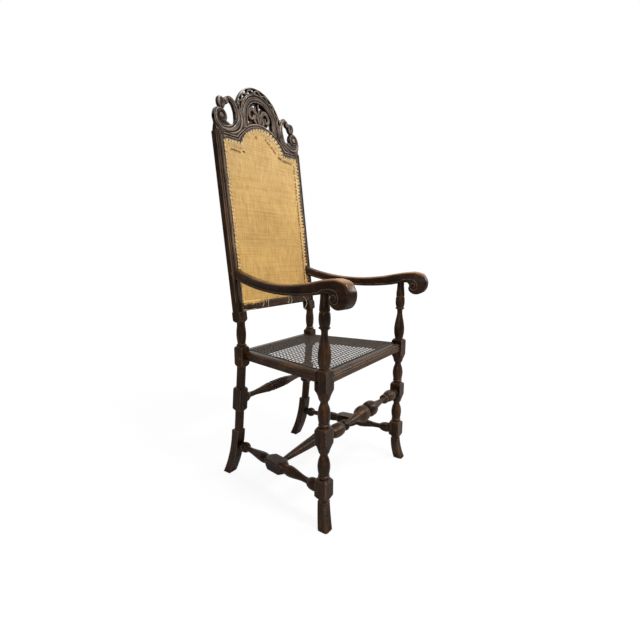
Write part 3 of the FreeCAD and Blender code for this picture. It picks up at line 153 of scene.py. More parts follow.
class Tree:
    """A tree of shader nodes, made by short calls."""

    def __init__(self, tree):
        self.tree = tree

    def node(self, kind, inputs=None, **settings):
        node = self.tree.nodes.new(kind)
        for name, value in settings.items():
            setattr(node, name, value)
        for name, value in (inputs or {}).items():
            self.feed(node.inputs[name], value)
        return node

    def feed(self, socket, value):
        if isinstance(value, bpy.types.NodeSocket):
            self.tree.links.new(value, socket)
        else:
            socket.default_value = value

    def math(self, operation, first, second=0.5, clamp=False):
        node = self.node("ShaderNodeMath", {0: first, 1: second}, operation=operation, use_clamp=clamp)
        return node.outputs["Value"]

    def vector_math(self, operation, first, second=(0, 0, 0)):
        """A number worked out from two vectors."""
        node = self.node("ShaderNodeVectorMath", {0: first, 1: second}, operation=operation)
        return node.outputs["Value"]


class Graph(Tree):
    """A material's nodes."""

    def __init__(self, name, roughness=0.5, gloss=0.5):
        self.material = bpy.data.materials.new(name)
        self.material.use_nodes = True
        super().__init__(self.material.node_tree)
        self.shader = self.tree.nodes["Principled BSDF"]
        self.set("Roughness", roughness)
        self.set("Specular IOR Level", gloss)
        self.place = self.node("ShaderNodeTexCoord").outputs["Object"]

    def set(self, name, value):
        """A value for one of the shader's own sockets, or what feeds it."""
        self.feed(self.shader.inputs[name], value)

    def stretched(self, scale):
        """The object's own coordinates, scaled by axis."""
        return self.node("ShaderNodeMapping", {"Vector": self.place, "Scale": scale}).outputs["Vector"]

    def noise(self, scale, detail=4, roughness=0.55, vector=None):
        return self.node("ShaderNodeTexNoise", {"Vector": vector or self.place, "Scale": scale,
                                                "Detail": detail, "Roughness": roughness}).outputs["Fac"]

    def painted(self, name):
        """What a piece's own attribute says at each place."""
        return self.node("ShaderNodeAttribute", attribute_name=name).outputs["Fac"]

    def ramp(self, value, *stops):
        """Grey levels or colours at places along a value from 0 to 1."""
        node = self.node("ShaderNodeValToRGB", {"Fac": value})
        elements = node.color_ramp.elements
        while len(elements) < len(stops):
            elements.new(0.5)
        for element, (position, colour) in zip(elements, stops):
            element.position = position
            element.color = (*colour, 1) if isinstance(colour, tuple) else (colour, colour, colour, 1)
        return node.outputs["Color"]

    def mix(self, share, first, second, blend="MIX"):
        """Two colours mixed, or multiplied, by a share."""
        node = self.node("ShaderNodeMix", data_type="RGBA", blend_type=blend)
        self.feed(node.inputs[0], share)
        for socket, colour in ((node.inputs[6], first), (node.inputs[7], second)):
            self.feed(socket, (*colour, 1) if isinstance(colour, tuple) else colour)
        return node.outputs[2]

    def shaded(self, body, value, *stops):
        """A colour multiplied by the levels or colours at places along a value."""
        return self.mix(1.0, body, self.ramp(value, *stops), "MULTIPLY")

    def bump(self, height, strength, distance):
        node = self.node("ShaderNodeBump", {"Height": height, "Strength": strength, "Distance": distance})
        self.set("Normal", node.outputs["Normal"])

    def edges(self, radius):
        """How far a surface turns within a radius: 0 on the flat, more near an edge."""
        rounded = self.node("ShaderNodeBevel", {"Radius": radius}, samples=4).outputs["Normal"]
        flat = self.node("ShaderNodeNewGeometry").outputs["Normal"]
        return self.math("SUBTRACT", 1, self.vector_math("DOT_PRODUCT", rounded, flat))

    def hollows(self, distance):
        """1 in the open, less in a hollow."""
        return self.node("ShaderNodeAmbientOcclusion", {"Distance": distance}, samples=6).outputs["AO"]

    def upward(self):
        """How far a surface faces up, from -1 to 1."""
        normal = self.node("ShaderNodeNewGeometry").outputs["Normal"]
        return self.node("ShaderNodeSeparateXYZ", {"Vector": normal}).outputs["Z"]


# The scale of a wood's noise by axis, low along its grain
GRAIN_ALONG = {"x": (7, 95, 95), "y": (95, 7, 95), "z": (95, 95, 7)}
WOOD_GLOSS = 0.2
PORE_SCALE = 4.5
PATCH_SCALE = 14
WORN_AND_LIT_EDGE = 0.0032
# How far the painted shade in the wood's hollows reaches
HOLLOW_SHADE_REACH = 0.02
FADE_START = -0.1


def topped(graph, body, grain, colour, low, high, fade):
    """A colour over what faces up, uneven along the grain, and fading toward the chair's back."""
    uneven = graph.math("MULTIPLY", graph.math("SUBTRACT", grain, 0.5), high - low)
    facing = graph.math("ADD", graph.upward(), uneven)
    rearward = graph.node("ShaderNodeSeparateXYZ", {"Vector": graph.place}).outputs["Y"]
    faded = graph.math("MULTIPLY", graph.math("SUBTRACT", rearward, FADE_START), fade, clamp=True)
    facing = graph.math("SUBTRACT", facing, faded)
    return graph.mix(graph.ramp(facing, (low, 0.0), (high, 1.0)), body, colour)


def wood(name, along, colours, wear_and_highlight=1.0, roughness=0.3, top=None):
    """Old waxed wood: streaked grain, painted shade in its hollows, edges paler from wear and painted
    highlight, and a top that differs.
    """
    graph = Graph(name, roughness, WOOD_GLOSS)
    dark, light, worn_and_lit = colours
    streaks = graph.stretched(GRAIN_ALONG[along])
    grain = graph.noise(1, 6, 0.62, streaks)
    pores = graph.noise(PORE_SCALE, 3, 0.6, streaks)
    patches = graph.noise(PATCH_SCALE, 4, 0.6)
    body = graph.mix(graph.ramp(grain, (0.3, 0.0), (0.72, 1.0)), dark, light)
    if top:
        body = topped(graph, body, grain, *top)
    body = graph.shaded(body, pores, (0.34, 0.5), (0.52, 1.0))
    body = graph.shaded(body, patches, (0.28, 0.5), (0.7, 1.4))
    # Edges worn paler, a paleness that also paints the highlights along them
    rubbed_and_lit = graph.math("MULTIPLY", graph.ramp(graph.edges(WORN_AND_LIT_EDGE), (0.015, 0.0), (0.2, 1.0)),
                        graph.ramp(patches, (0.3, 0.3 * wear_and_highlight), (0.6, wear_and_highlight)), clamp=True)
    body = graph.mix(rubbed_and_lit, body, worn_and_lit)
    # Painted shade: the colour darkened where ambient occlusion finds a hollow
    graph.set("Base Color", graph.shaded(body, graph.hollows(HOLLOW_SHADE_REACH), (0.3, 0.1), (0.9, 1.0)))
    graph.set("Roughness", graph.ramp(patches, (0.25, roughness - 0.1), (0.75, roughness + 0.14)))
    graph.bump(graph.math("ADD", graph.math("MULTIPLY", pores, 0.6), grain), 0.3, 0.0005)
    return graph.material


# Each wood's colours: in its dark streaks, in its light ones, and where it is worn, a paler colour that
# also paints highlights on its edges and ridges
FRAME_COLOURS = ((0.009, 0.004, 0.0018), (0.09, 0.038, 0.0125), (0.3, 0.19, 0.11))
# The stile beads' paler colours paint the highlights on the stiles' mouldings
STILE_HIGHLIGHT_COLOURS = ((0.06, 0.032, 0.017), (0.2, 0.125, 0.075), (0.3, 0.19, 0.11))
TURNED_COLOURS = ((0.014, 0.0065, 0.003), (0.095, 0.046, 0.018), (0.3, 0.19, 0.105))
ARM_COLOURS = ((0.014, 0.006, 0.0028), (0.055, 0.022, 0.0085), (0.4, 0.24, 0.125))
# The arm beads' paler colours paint the highlight along each bead
BEAD_COLOURS = ((0.035, 0.019, 0.01), (0.13, 0.075, 0.04), (0.24, 0.15, 0.09))
RAIL_COLOURS = ((0.024, 0.011, 0.005), (0.115, 0.054, 0.023), (0.3, 0.19, 0.105))
CREST_COLOURS = ((0.007, 0.0036, 0.0021), (0.036, 0.0185, 0.0103), (0.42, 0.31, 0.235))

# A top's colour, how far up a face turns where it starts and where it is whole, and its fading
# The arms' paler top is wear, and also painted light on what faces up
ARM_TOP = ((0.34, 0.17, 0.07), 0.35, 0.9, 1.9)
SEAT_RAIL_TOP = ((0.026, 0.019, 0.012), 0.988, 0.997, 0)

upright_wood = wood("upright_wood", "z", FRAME_COLOURS)
cross_wood = wood("cross_wood", "x", FRAME_COLOURS)
fore_wood = wood("fore_wood", "y", FRAME_COLOURS)
highlight_upright = wood("highlight_upright", "z", STILE_HIGHLIGHT_COLOURS)
turned_wood = wood("turned_wood", "x", TURNED_COLOURS)
arm_wood = wood("arm_wood", "y", ARM_COLOURS, 0.8, 0.3, ARM_TOP)
bead_wood = wood("bead_wood", "y", BEAD_COLOURS)
rail_wood = wood("rail_wood", "x", RAIL_COLOURS, 1.0, 0.32, SEAT_RAIL_TOP)
side_rail_wood = wood("side_rail_wood", "y", RAIL_COLOURS, 1.0, 0.32, SEAT_RAIL_TOP)

CREST_DUST = (0.045, 0.043, 0.031)
DUST_SHARE = 0.7
CREST_PATCH_SCALE = 22
# How far the painted shade in the crest's hollows reaches
CREST_HOLLOW = 0.016


def carved_wood():
    """The crest's wood: pale on its ridges from wear and painted highlight, painted shade between them and
    in its hollows, and dusty where a mask says.
    """
    graph = Graph("carved_wood", 0.4, WOOD_GLOSS)
    dark, light, worn_and_lit = CREST_COLOURS
    grain = graph.noise(1, 6, 0.62, graph.stretched(GRAIN_ALONG["x"]))
    patches = graph.noise(CREST_PATCH_SCALE, 5, 0.65)
    body = graph.mix(graph.ramp(grain, (0.3, 0.0), (0.7, 1.0)), dark, light)
    body = graph.mix(graph.math("MULTIPLY", graph.painted("dust"), DUST_SHARE), body, CREST_DUST)
    ridged = graph.painted("ridge")
    # Ridges worn paler, a paleness that also paints their highlights
    rubbed_and_lit = graph.math("MULTIPLY", graph.ramp(ridged, (0.6, 0.0), (1.0, 1.0)),
                        graph.ramp(patches, (0.3, 0.15), (0.62, 0.85)), clamp=True)
    body = graph.mix(rubbed_and_lit, body, worn_and_lit)
    # Painted shade: what lies low between the ridges is darkened
    body = graph.shaded(body, ridged, (0.0, 0.12), (0.45, 1.0))
    # Painted shade in the hollows, by ambient occlusion
    graph.set("Base Color", graph.shaded(body, graph.hollows(CREST_HOLLOW), (0.3, 0.08), (0.95, 1.0)))
    graph.set("Roughness", graph.ramp(patches, (0.3, 0.22), (0.7, 0.42)))
    graph.bump(graph.math("ADD", patches, grain), 0.25, 0.0006)
    return graph.material


CANE_DARK, CANE_LIGHT = (0.02, 0.014, 0.01), (0.07, 0.05, 0.034)
CANE_GLOSS = 0.15


def cane_fibre():
    """Split cane, browned by age, with a fine grain."""
    graph = Graph("cane_fibre", 0.5, CANE_GLOSS)
    fine, patches = graph.noise(260, 3), graph.noise(18, 4)
    body = graph.mix(graph.ramp(fine, (0.3, 0.0), (0.7, 1.0)), CANE_DARK, CANE_LIGHT)
    graph.set("Base Color", graph.shaded(body, patches, (0.3, 0.6), (0.7, 1.3)))
    graph.set("Roughness", graph.ramp(patches, (0.3, 0.45), (0.7, 0.7)))
    graph.bump(fine, 0.3, 0.0004)
    return graph.material


THREAD_PITCH = 1.9
THREAD_WANDER = 5
UPRIGHT_SLUBS, LEVEL_SLUBS = (230, 230, 5), (6, 6, 260)
SUNK_FROM, SUNK_RATE = 1.18, 1.7
STAIN = on_back(-25, 7, 617)
STAIN_CLOSENESS = 60
BURLAP_ROUGHNESS, BURLAP_GLOSS = 0.88, 0.1


def burlap_cloth(name, pale, deep):
    """Open plain weave of uneven jute: threads, slubs both ways, browner low down, and one stain."""
    graph = Graph(name, BURLAP_ROUGHNESS, BURLAP_GLOSS)
    turned = graph.node("ShaderNodeVectorRotate", {"Vector": graph.place, "Angle": LEAN},
                        rotation_type="X_AXIS").outputs["Vector"]
    place = graph.node("ShaderNodeSeparateXYZ", {"Vector": turned}).outputs
    wobble = graph.noise(60, 2)
    threads = []
    for axis in ("X", "Z"):
        phase = graph.math("MULTIPLY", place[axis], 2 * math.pi / (THREAD_PITCH * MM))
        phase = graph.math("ADD", phase, graph.math("MULTIPLY", wobble, THREAD_WANDER))
        threads.append(graph.math("SINE", phase))
    weave = graph.math("ADD", graph.math("MULTIPLY", graph.math("MULTIPLY", *threads), 0.5), 0.5)
    upright_slubs = graph.noise(1, 5, 0.65, graph.stretched(UPRIGHT_SLUBS))
    level_slubs = graph.noise(1, 5, 0.65, graph.stretched(LEVEL_SLUBS))
    low = graph.math("MULTIPLY", graph.math("SUBTRACT", SUNK_FROM, place["Z"]), SUNK_RATE, clamp=True)
    from_stain = graph.math("MULTIPLY", graph.vector_math("DISTANCE", graph.place, STAIN), STAIN_CLOSENESS)
    stain = graph.math("ADD", from_stain, graph.math("MULTIPLY", wobble, 0.5))
    body = graph.mix(graph.ramp(upright_slubs, (0.34, 0.0), (0.62, 1.0)), deep, pale)
    body = graph.shaded(body, level_slubs, (0.35, (0.86, 0.8, 0.72)), (0.58, 1.0))
    body = graph.shaded(body, graph.noise(7, 4), (0.3, 0.84), (0.65, 1.04))
    body = graph.shaded(body, weave, (0.2, (0.84, 0.78, 0.68)), (0.75, 1.03))
    body = graph.shaded(body, low, (0.0, (0.86, 0.88, 0.92)), (0.5, (0.86, 0.84, 0.76)),
                        (1.0, (0.8, 0.74, 0.58)))
    graph.set("Base Color", graph.shaded(body, stain, (0.35, (0.5, 0.26, 0.12)), (0.8, 1.0)))
    graph.set("Sheen Weight", 0.03)
    graph.set("Sheen Roughness", 0.6)
    graph.bump(graph.math("ADD", weave, graph.math("MULTIPLY", upright_slubs, 1.5)), 0.7, 0.0007)
    return graph.material


def plain(name, colour, contrast=0.35, roughness=0.85, speckle=300, metallic=0.0):
    """A small piece's material: a colour with uneven patches and a light bump."""
    graph = Graph(name, roughness)
    patches = graph.noise(speckle, 4)
    graph.set("Base Color", graph.shaded(colour, patches, (0.3, 1 - contrast), (0.7, 1 + contrast)))
    graph.set("Metallic", metallic)
    graph.bump(patches, 0.25, 0.0004)
    return graph.material


crest_wood = carved_wood()
cane_material = cane_fibre()
burlap_material = burlap_cloth("burlap_weave", (0.92, 0.63, 0.28), (0.71, 0.455, 0.175))
hem_material = burlap_cloth("burlap_hem", (1.0, 0.74, 0.38), (0.86, 0.57, 0.24))
thread_material = plain("jute_thread", (0.95, 0.67, 0.33), 0.2)
pale_thread = plain("linen_thread", (0.72, 0.62, 0.45))
# Dark stitches, whose brown also paints shade along the hem
stitch_and_shade_thread = plain("stitch_and_shade_marks", (0.13, 0.06, 0.02))
tack_material = plain("rusty_tack", (0.16, 0.07, 0.03), 0.4, 0.6, 500, 0.4)

# The material of each node, or of its left and right ones
NODE_MATERIALS = {
    "front_leg": upright_wood, "rear_post": upright_wood, "seat_rail": side_rail_wood,
    "seat_rail_front": rail_wood, "seat_rail_back": cross_wood, "side_stretcher": fore_wood,
    "medial_stretcher": cross_wood, "front_stretcher": rail_wood, "rear_stretcher": cross_wood,
    "arm": arm_wood, "crest_rail": crest_wood, "lower_back_rail": cross_wood,
    "cane_seat": cane_material, "burlap_cover": burlap_material, "burlap_tacks": tack_material,
    "seat_frame_pegs": fore_wood, "back_frame_pegs": fore_wood, "arm_pegs": fore_wood,
}


def dress_nodes():
    for name, node in nodes.items():
        materials = node.data.materials
        materials.clear()
        materials.append(NODE_MATERIALS[name.removesuffix("_left").removesuffix("_right")])


# The carved crest, as a relief over the back's front plane

CREST_STEP = 1.0
GROUND_DEPTH = 4
THIN_FROM = 627
ARCH_CENTRE = 671
ARCH_RADIUS = 113
FIELD_RADIUS = 64
RING_RADIUS = 90
BODY_HALF, BODY_TOP = 110, 700
FOOT_BAND_TOP = 636
VOLUTE = (181.5, 648.5)
VOLUTE_RADIUS = 26.5
EYE_RADIUS = 8.5
EYE_GROOVE = 2.2
NECK = (177, 678)
NECK_HALF = 8
GAP_CENTRE = (138.5, 661)
GAP_HALF = (18.5, 31)

# Each bud's centre, radii and height
BUDS = (((173, 691), (16, 20), 7.5), ((162, 697), (10, 12), 2.0), ((152, 701), (10, 10), 6.5))

# Scrolls as points (across, up) with half their width, in millimetres
EAR_SCROLL = ((150, 708, 6), (136, 712, 7.5), (121, 704, 9), (111, 687, 11), (105, 664, 14.5),
              (112, 637, 18), (134, 617, 15.5), (162, 609, 12), (187, 612, 9.5), (202, 628, 7.5),
              (204, 648, 6.5), (195, 664, 6), (179, 668, 5.5), (165, 659, 5), (162, 645, 4.5),
              (171, 634, 4), (184, 635, 3.5), (192, 645, 3))
FIELD_SCROLL = ((2, 664, 5), (7, 684, 6), (16, 701, 7.5), (29, 711, 8), (43, 705, 7.5), (49, 690, 6),
                (42, 677, 5), (31, 679, 4), (28, 689, 3.5))
FIELD_LEAF = ((8, 692, 3), (17, 688, 6.5), (22, 676, 6), (16, 664, 4))
FIELD_STEM = ((0, 662, 4.5), (0, 690, 4), (0, 712, 3), (0, 730, 2.5))


def smooth_path(points, samples=14):
    """A Catmull-Rom curve through points, each with its half-width."""
    points = np.array(points, float)
    padded = np.vstack([2 * points[0] - points[1], points, 2 * points[-1] - points[-2]])
    shares = np.linspace(0, 1, samples, endpoint=False)[:, None]
    runs = []
    for a, b, c, d in zip(padded, padded[1:], padded[2:], padded[3:]):
        runs.append(0.5 * (2 * b + (c - a) * shares + (2 * a - 5 * b + 4 * c - d) * shares ** 2
                           + (3 * b - a - 3 * c + d) * shares ** 3))
    return np.vstack(runs + [points[-1:]])


def along_path(path, x, w):
    """How far each place is from the path in half-widths, the same with a side, and the half-width."""
    best = np.full(x.shape, 1e9)
    aside = np.zeros(x.shape)
    width = np.ones(x.shape)
    for (px, pw, half), (qx, qw, _) in zip(path[:-1], path[1:]):
        run_x, run_w = qx - px, qw - pw
        length = math.hypot(run_x, run_w) or 1
        along = np.clip(((x - px) * run_x + (w - pw) * run_w) / length ** 2, 0, 1)
        off_x, off_w = x - px - along * run_x, w - pw - along * run_w
        share = np.hypot(off_x, off_w) / half
        closer = share < best
        best = np.where(closer, share, best)
        side = np.sign(run_x * off_w - run_w * off_x)
        aside = np.where(closer, share * side, aside)
        width = np.where(closer, half, width)
    return best, aside, width


EAR_PATH = smooth_path(EAR_SCROLL)
FIELD_PATHS = [smooth_path(points) for points in (FIELD_SCROLL, FIELD_LEAF, FIELD_STEM)]


def opening_outset(x, w):
    """How far a place is set out from the edge of the back's opening, mitred at its corners."""
    shoulder = np.maximum(x - OPENING_HALF, w - SHOULDER)
    arch = np.maximum(x - OPENING_ARCH_HALF, np.hypot(x, w - OPENING_ARCH_CENTRE) - OPENING_ARCH_RADIUS)
    return np.minimum(shoulder, arch)


def ellipse(x, w, centre, radii):
    """Roughly how far inside an ellipse a place lies, in millimetres."""
    return (1 - np.hypot((x - centre[0]) / radii[0], (w - centre[1]) / radii[1])) * min(radii)


def polar(x, w):
    """The distance from the arch's centre, and the angle from straight up."""
    return np.hypot(x, w - ARCH_CENTRE), np.arctan2(x, w - ARCH_CENTRE)


LATTICE_TURNS = 16
LATTICE_MIDDLE = 101
LATTICE_SWING = 4.6
LATTICE_STRAP = 4.0
LATTICE_HOLES = (95, 107.5)
LATTICE_END = 1.43

# The holes through the field lie between its rim, its scrolls, its middle and its foot
PIERCED_RIM = FIELD_RADIUS - 6
PIERCED_FROM = 44
PIERCED_FOOT = 664
PIERCED_ASIDE = 10
SCROLL_HALF = 5
SCROLL_WALL = 4.2


def lattice_strap(radius, angle):
    """The distance from the middle of the zigzag strap in the arch's outer band."""
    middle = LATTICE_MIDDLE + LATTICE_SWING * np.cos(LATTICE_TURNS * angle)
    slope = LATTICE_SWING * LATTICE_TURNS * np.sin(LATTICE_TURNS * angle) / LATTICE_MIDDLE
    return np.abs(radius - middle) / np.sqrt(1 + slope ** 2)


def crest_outline(x, w, radius):
    """Above 0 inside the crest's outline, before it is pierced."""
    ear, _, half = along_path(EAR_PATH, x, w)
    from_volute = np.hypot(x - VOLUTE[0], w - VOLUTE[1])
    parts = [ARCH_RADIUS - radius, np.minimum(BODY_HALF - x, BODY_TOP - w), (1 - ear) * half,
             VOLUTE_RADIUS - from_volute, np.minimum(STILE_OUTER - x, FOOT_BAND_TOP - w),
             NECK_HALF - np.maximum(np.abs(x - NECK[0]), np.abs(w - NECK[1]))]
    parts += [ellipse(x, w, centre, radii) for centre, radii, _ in BUDS]
    gap = np.minimum(ellipse(x, w, GAP_CENTRE, GAP_HALF), from_volute - VOLUTE_RADIUS)
    above_stile = np.where(x > OPENING_HALF, w - STILE_TOP, np.inf)
    return np.minimum.reduce([np.maximum.reduce(parts), -gap, above_stile, opening_outset(x, w)])


def crest_solid(x, w):
    """Above 0 where the crest is solid, in millimetres to its edge near there."""
    x = np.abs(x)
    radius, angle = polar(x, w)
    holes = np.minimum.reduce([lattice_strap(radius, angle) - LATTICE_STRAP, radius - LATTICE_HOLES[0],
                               LATTICE_HOLES[1] - radius, (LATTICE_END - angle) * LATTICE_MIDDLE])
    scroll = np.minimum.reduce([(along_path(path, x, w)[0] - 1) * SCROLL_HALF for path in FIELD_PATHS])
    pierced = np.minimum.reduce([PIERCED_RIM - radius, scroll - SCROLL_WALL, radius - PIERCED_FROM,
                                 w - PIERCED_FOOT, x - PIERCED_ASIDE])
    return np.minimum.reduce([crest_outline(x, w, radius), -holes, -pierced])


def dome(aside):
    """The height of a half circle of radius 1 at a distance aside of its middle, and 0 outside it."""
    return np.sqrt(np.clip(1 - aside ** 2, 0, 1))


def swell(aside, width):
    """1 in the middle, and falling softly to either side."""
    return np.exp(-(aside / width) ** 2)


REED_GAP = 0.04


def reeds(share, edge):
    """A broad rounded ridge between two narrow ones, across a share from 0 to 1."""
    ridges = np.zeros(share.shape)
    for low, high in ((0, edge), (edge + REED_GAP, 1 - REED_GAP - edge), (1 - edge, 1)):
        ridges = np.maximum(ridges, dome((share * 2 - low - high) / (high - low)))
    return ridges


# Heights above the carving's ground, and rises above those
PLAIN_HEIGHT = 2.5
FIELD_FLOOR = -7.0
FIELD_TOPS = (3.5, 2.0, 2.5)
SCROLL_GROOVE = 1.5
RING_FLOOR, RING_RISE = 0.5, 6
LATTICE_FLOOR, STRAP_RISE, RIM_RISE = 1.2, 2.6, 3.6
EAR_FLOOR, EAR_LOWEST, EAR_RISE, EAR_RISE_BY_HALF, EAR_CROWN = 0.6, 1, 3.2, 0.2, 1.2
NO_BUD = -9.0
EYE_FLOOR, EYE_RISE, EYE_GROOVE_FLOOR = 2, 6, 1.0
MOULDING_FLOOR, MOULDING_RISE, QUIRK_FLOOR = 2, 3, -1.0

# Places and widths in the carving
FIELD_LOW = ARCH_CENTRE - 40
SCROLL_GROOVE_HALF = 1 / 3.5
RING_FOOT = SHOULDER + 20
RING_REED, EAR_REED = 0.16, 0.22
RIMS = ((91.5, 2.4), (110, 2.6))
STRAP_HALF = 3
BAND_WIDTH, QUIRK_END, MOULDING_WIDTH = 18, 21, 28
ARCH_SIDE, ARCH_SIDE_RUN, ARCH_NARROWING = 112, 22, 0.33


def carve_field(height, x, w, radius):
    """The sunk field under the arch, and its scrolls, each with a groove along its middle."""
    field = (radius < FIELD_RADIUS) & (w > FIELD_LOW)
    height = np.where(field, FIELD_FLOOR, height)
    for path, top in zip(FIELD_PATHS, FIELD_TOPS):
        share, aside, _ = along_path(path, x, w)
        groove = SCROLL_GROOVE * swell(aside, SCROLL_GROOVE_HALF)
        ridge = FIELD_FLOOR + (top - FIELD_FLOOR) * dome(share) - groove
        height = np.where(field & (share < 1), np.maximum(height, ridge), height)
    return height


def carve_arch(height, x, w, radius, angle):
    """The reeded arch with its legs down to the moulding, and the lattice band between its rims."""
    across = np.where(w > ARCH_CENTRE, radius, x)
    ring = (across > FIELD_RADIUS) & (across < RING_RADIUS) & (w > RING_FOOT)
    share = (across - FIELD_RADIUS) / (RING_RADIUS - FIELD_RADIUS)
    height = np.where(ring, RING_FLOOR + RING_RISE * reeds(share, RING_REED), height)
    rims = np.maximum.reduce([swell(radius - middle, width) for middle, width in RIMS])
    straps = swell(lattice_strap(radius, angle), STRAP_HALF)
    lattice = LATTICE_FLOOR + np.maximum(rims * RIM_RISE, straps * STRAP_RISE)
    return np.where((radius > RING_RADIUS) & (w > ARCH_CENTRE), lattice, height)


def carve_ears(height, x, w, radius):
    """The ears' reeded scrolls, their buds, and the volutes' eyes."""
    share, aside, half = along_path(EAR_PATH, x, w)
    reeded = (EAR_RISE + EAR_RISE_BY_HALF * half) * reeds((aside + 1) / 2, EAR_REED)
    reeded = np.maximum(EAR_FLOOR + reeded + EAR_CROWN * (1 - share), EAR_LOWEST)
    height = np.where((share < 1) & (radius > RING_RADIUS), reeded, height)
    buds = np.full(x.shape, NO_BUD)
    for centre, radii, top in BUDS:
        inside = np.clip(ellipse(x, w, centre, radii) / min(radii), 0, 1)
        buds = np.where(inside > 0, np.maximum(buds, top * dome(1 - inside)), buds)
    height = np.where(buds > NO_BUD, buds, height)
    from_eye = np.hypot(x - VOLUTE[0], w - VOLUTE[1])
    height = np.where(from_eye < EYE_RADIUS + EYE_GROOVE, EYE_GROOVE_FLOOR, height)
    return np.where(from_eye < EYE_RADIUS, EYE_FLOOR + EYE_RISE * dome(from_eye / EYE_RADIUS), height)


def carve_moulding(height, x, w):
    """The band, quirk and bead round the opening, in line with the stiles', and narrower at the arch."""
    narrowing = 1 + np.clip((ARCH_SIDE - x) / ARCH_SIDE_RUN, 0, 1) * ARCH_NARROWING
    outset = opening_outset(x, w) * narrowing
    band = MOULDING_FLOOR + MOULDING_RISE * dome(outset * 2 / BAND_WIDTH - 1)
    aside = (outset * 2 - QUIRK_END - MOULDING_WIDTH) / (MOULDING_WIDTH - QUIRK_END)
    bead = MOULDING_FLOOR + MOULDING_RISE * dome(aside)
    moulding = np.where(outset < BAND_WIDTH, band, np.where(outset < QUIRK_END, QUIRK_FLOOR, bead))
    return np.where(outset < MOULDING_WIDTH, moulding, height)


def crest_relief(x, w):
    """The carving's height above its ground, in millimetres."""
    x = np.abs(x)
    radius, angle = polar(x, w)
    height = carve_field(np.full(x.shape, PLAIN_HEIGHT), x, w, radius)
    height = carve_arch(height, x, w, radius, angle)
    height = carve_ears(height, x, w, radius)
    return carve_moulding(height, x, w)


def edge_distance(inside, step, reach):
    """How far each grid place is from the outside, up to a reach, in millimetres."""
    cells = int(math.ceil(reach / step))
    distance = np.full(inside.shape, float(reach))
    padded = np.pad(inside, cells, constant_values=False)
    rows, columns = inside.shape
    for down in range(-cells, cells + 1):
        for right in range(-cells, cells + 1):
            shifted = padded[cells + down:cells + down + rows, cells + right:cells + right + columns]
            far = max(math.hypot(down, right) - 0.5, 0) * step
            distance = np.where(shifted, distance, np.minimum(distance, far))
    return distance


def blurred(values, times=1):
    """Each value averaged with its neighbours, a number of times."""
    rows, columns = values.shape
    for _ in range(times):
        padded = np.pad(values, 1, mode="edge")
        values = sum(padded[down:down + rows, right:right + columns]
                     for down in range(3) for right in range(3)) / 9
    return values


def cut_cells(inside, index, crossing):
    """A grid's cells as polygons, cut where the solid ends, and the edges of the cuts."""
    polygons, rim = [], []
    rows, columns = inside.shape
    first_new = int(inside.sum())
    for row in range(rows - 1):
        for column in range(columns - 1):
            corners = ((row, column), (row, column + 1), (row + 1, column + 1), (row + 1, column))
            polygon = []
            for one, other in zip(corners, corners[1:] + corners[:1]):
                if inside[one]:
                    polygon.append(int(index[one]))
                if inside[one] != inside[other]:
                    polygon.append(crossing(one, other))
            if polygon:
                polygons.append(polygon)
            rim += [(one, other) for one, other in zip(polygon, polygon[1:] + polygon[:1])
                    if one >= first_new and other >= first_new]
    return polygons, rim


EDGE_FALL = 0.8
CUT_FALL = 0.2
CUT_MARGIN = 0.06
RIDGE_CONTRAST = 1.1
MIDDLING = 0.5


def relief_slab(name, solid, front, back, low, high, step, rounding, ease=0.0):
    """A slab on the back's plane, cut to where solid is above 0, with carved front and eased back."""
    grid_x, grid_w = np.meshgrid(np.arange(low[0], high[0] + step, step),
                                 np.arange(low[1], high[1] + step, step))
    level = solid(grid_x, grid_w)
    inside = level > 0
    index = np.cumsum(inside).reshape(inside.shape) - 1
    nearness = 1 - np.clip(blurred(edge_distance(inside, step, rounding)) / rounding, 0, 1)
    fall = rounding * EDGE_FALL * nearness ** 2
    face = front(grid_x, grid_w) + fall
    # The crest's material paints shade where this is low, and paler ridges where it is high
    ridge = np.clip(MIDDLING + (blurred(face, 4) - face) * RIDGE_CONTRAST, 0, 1)
    flat = list(zip(grid_x[inside], grid_w[inside]))
    depth, ridges, easing = list(face[inside]), list(ridge[inside]), list((ease * nearness ** 1.5)[inside])
    crossings = {}

    def crossing(a, b):
        """The vertex on a grid edge where the solid ends."""
        key = (min(a, b), max(a, b))
        if key not in crossings:
            share = level[a] / (level[a] - level[b])
            share = min(max(share, CUT_MARGIN), 1 - CUT_MARGIN)
            held = a if inside[a] else b
            crossings[key] = len(flat)
            flat.append(between((grid_x[a], grid_w[a]), (grid_x[b], grid_w[b]), share))
            depth.append(face[held] + fall[held] * CUT_FALL)
            ridges.append(MIDDLING)
            easing.append(ease)
        return crossings[key]

    polygons, rim = cut_cells(inside, index, crossing)
    count = len(flat)
    flat_x, flat_w = np.array(flat).T
    rear = np.maximum(back(flat_x, flat_w) - np.array(easing), np.array(depth) + 1)
    points = [on_back(x, d, w) for x, w, d in zip(flat_x, flat_w, depth)]
    points += [on_back(x, d, w) for x, w, d in zip(flat_x, flat_w, rear)]
    faces = polygons + [[vertex + count for vertex in reversed(polygon)] for polygon in polygons]
    faces += [[other, one, one + count, other + count] for one, other in rim]
    piece = new_piece(name, points, faces, crest_wood, 42)
    paint(piece, "ridge", np.concatenate([ridges, np.full(count, MIDDLING)]))
    paint(piece, "dust", np.tile(dusting(flat_x, flat_w), 2))
    return piece


def paint(piece, name, values):
    """A value on each vertex, for the material to read."""
    attribute = piece.data.attributes.new(name, "FLOAT", "POINT")
    attribute.data.foreach_set("value", np.asarray(values, np.float32))


def crest_front(x, w):
    return GROUND_DEPTH - crest_relief(x, w)


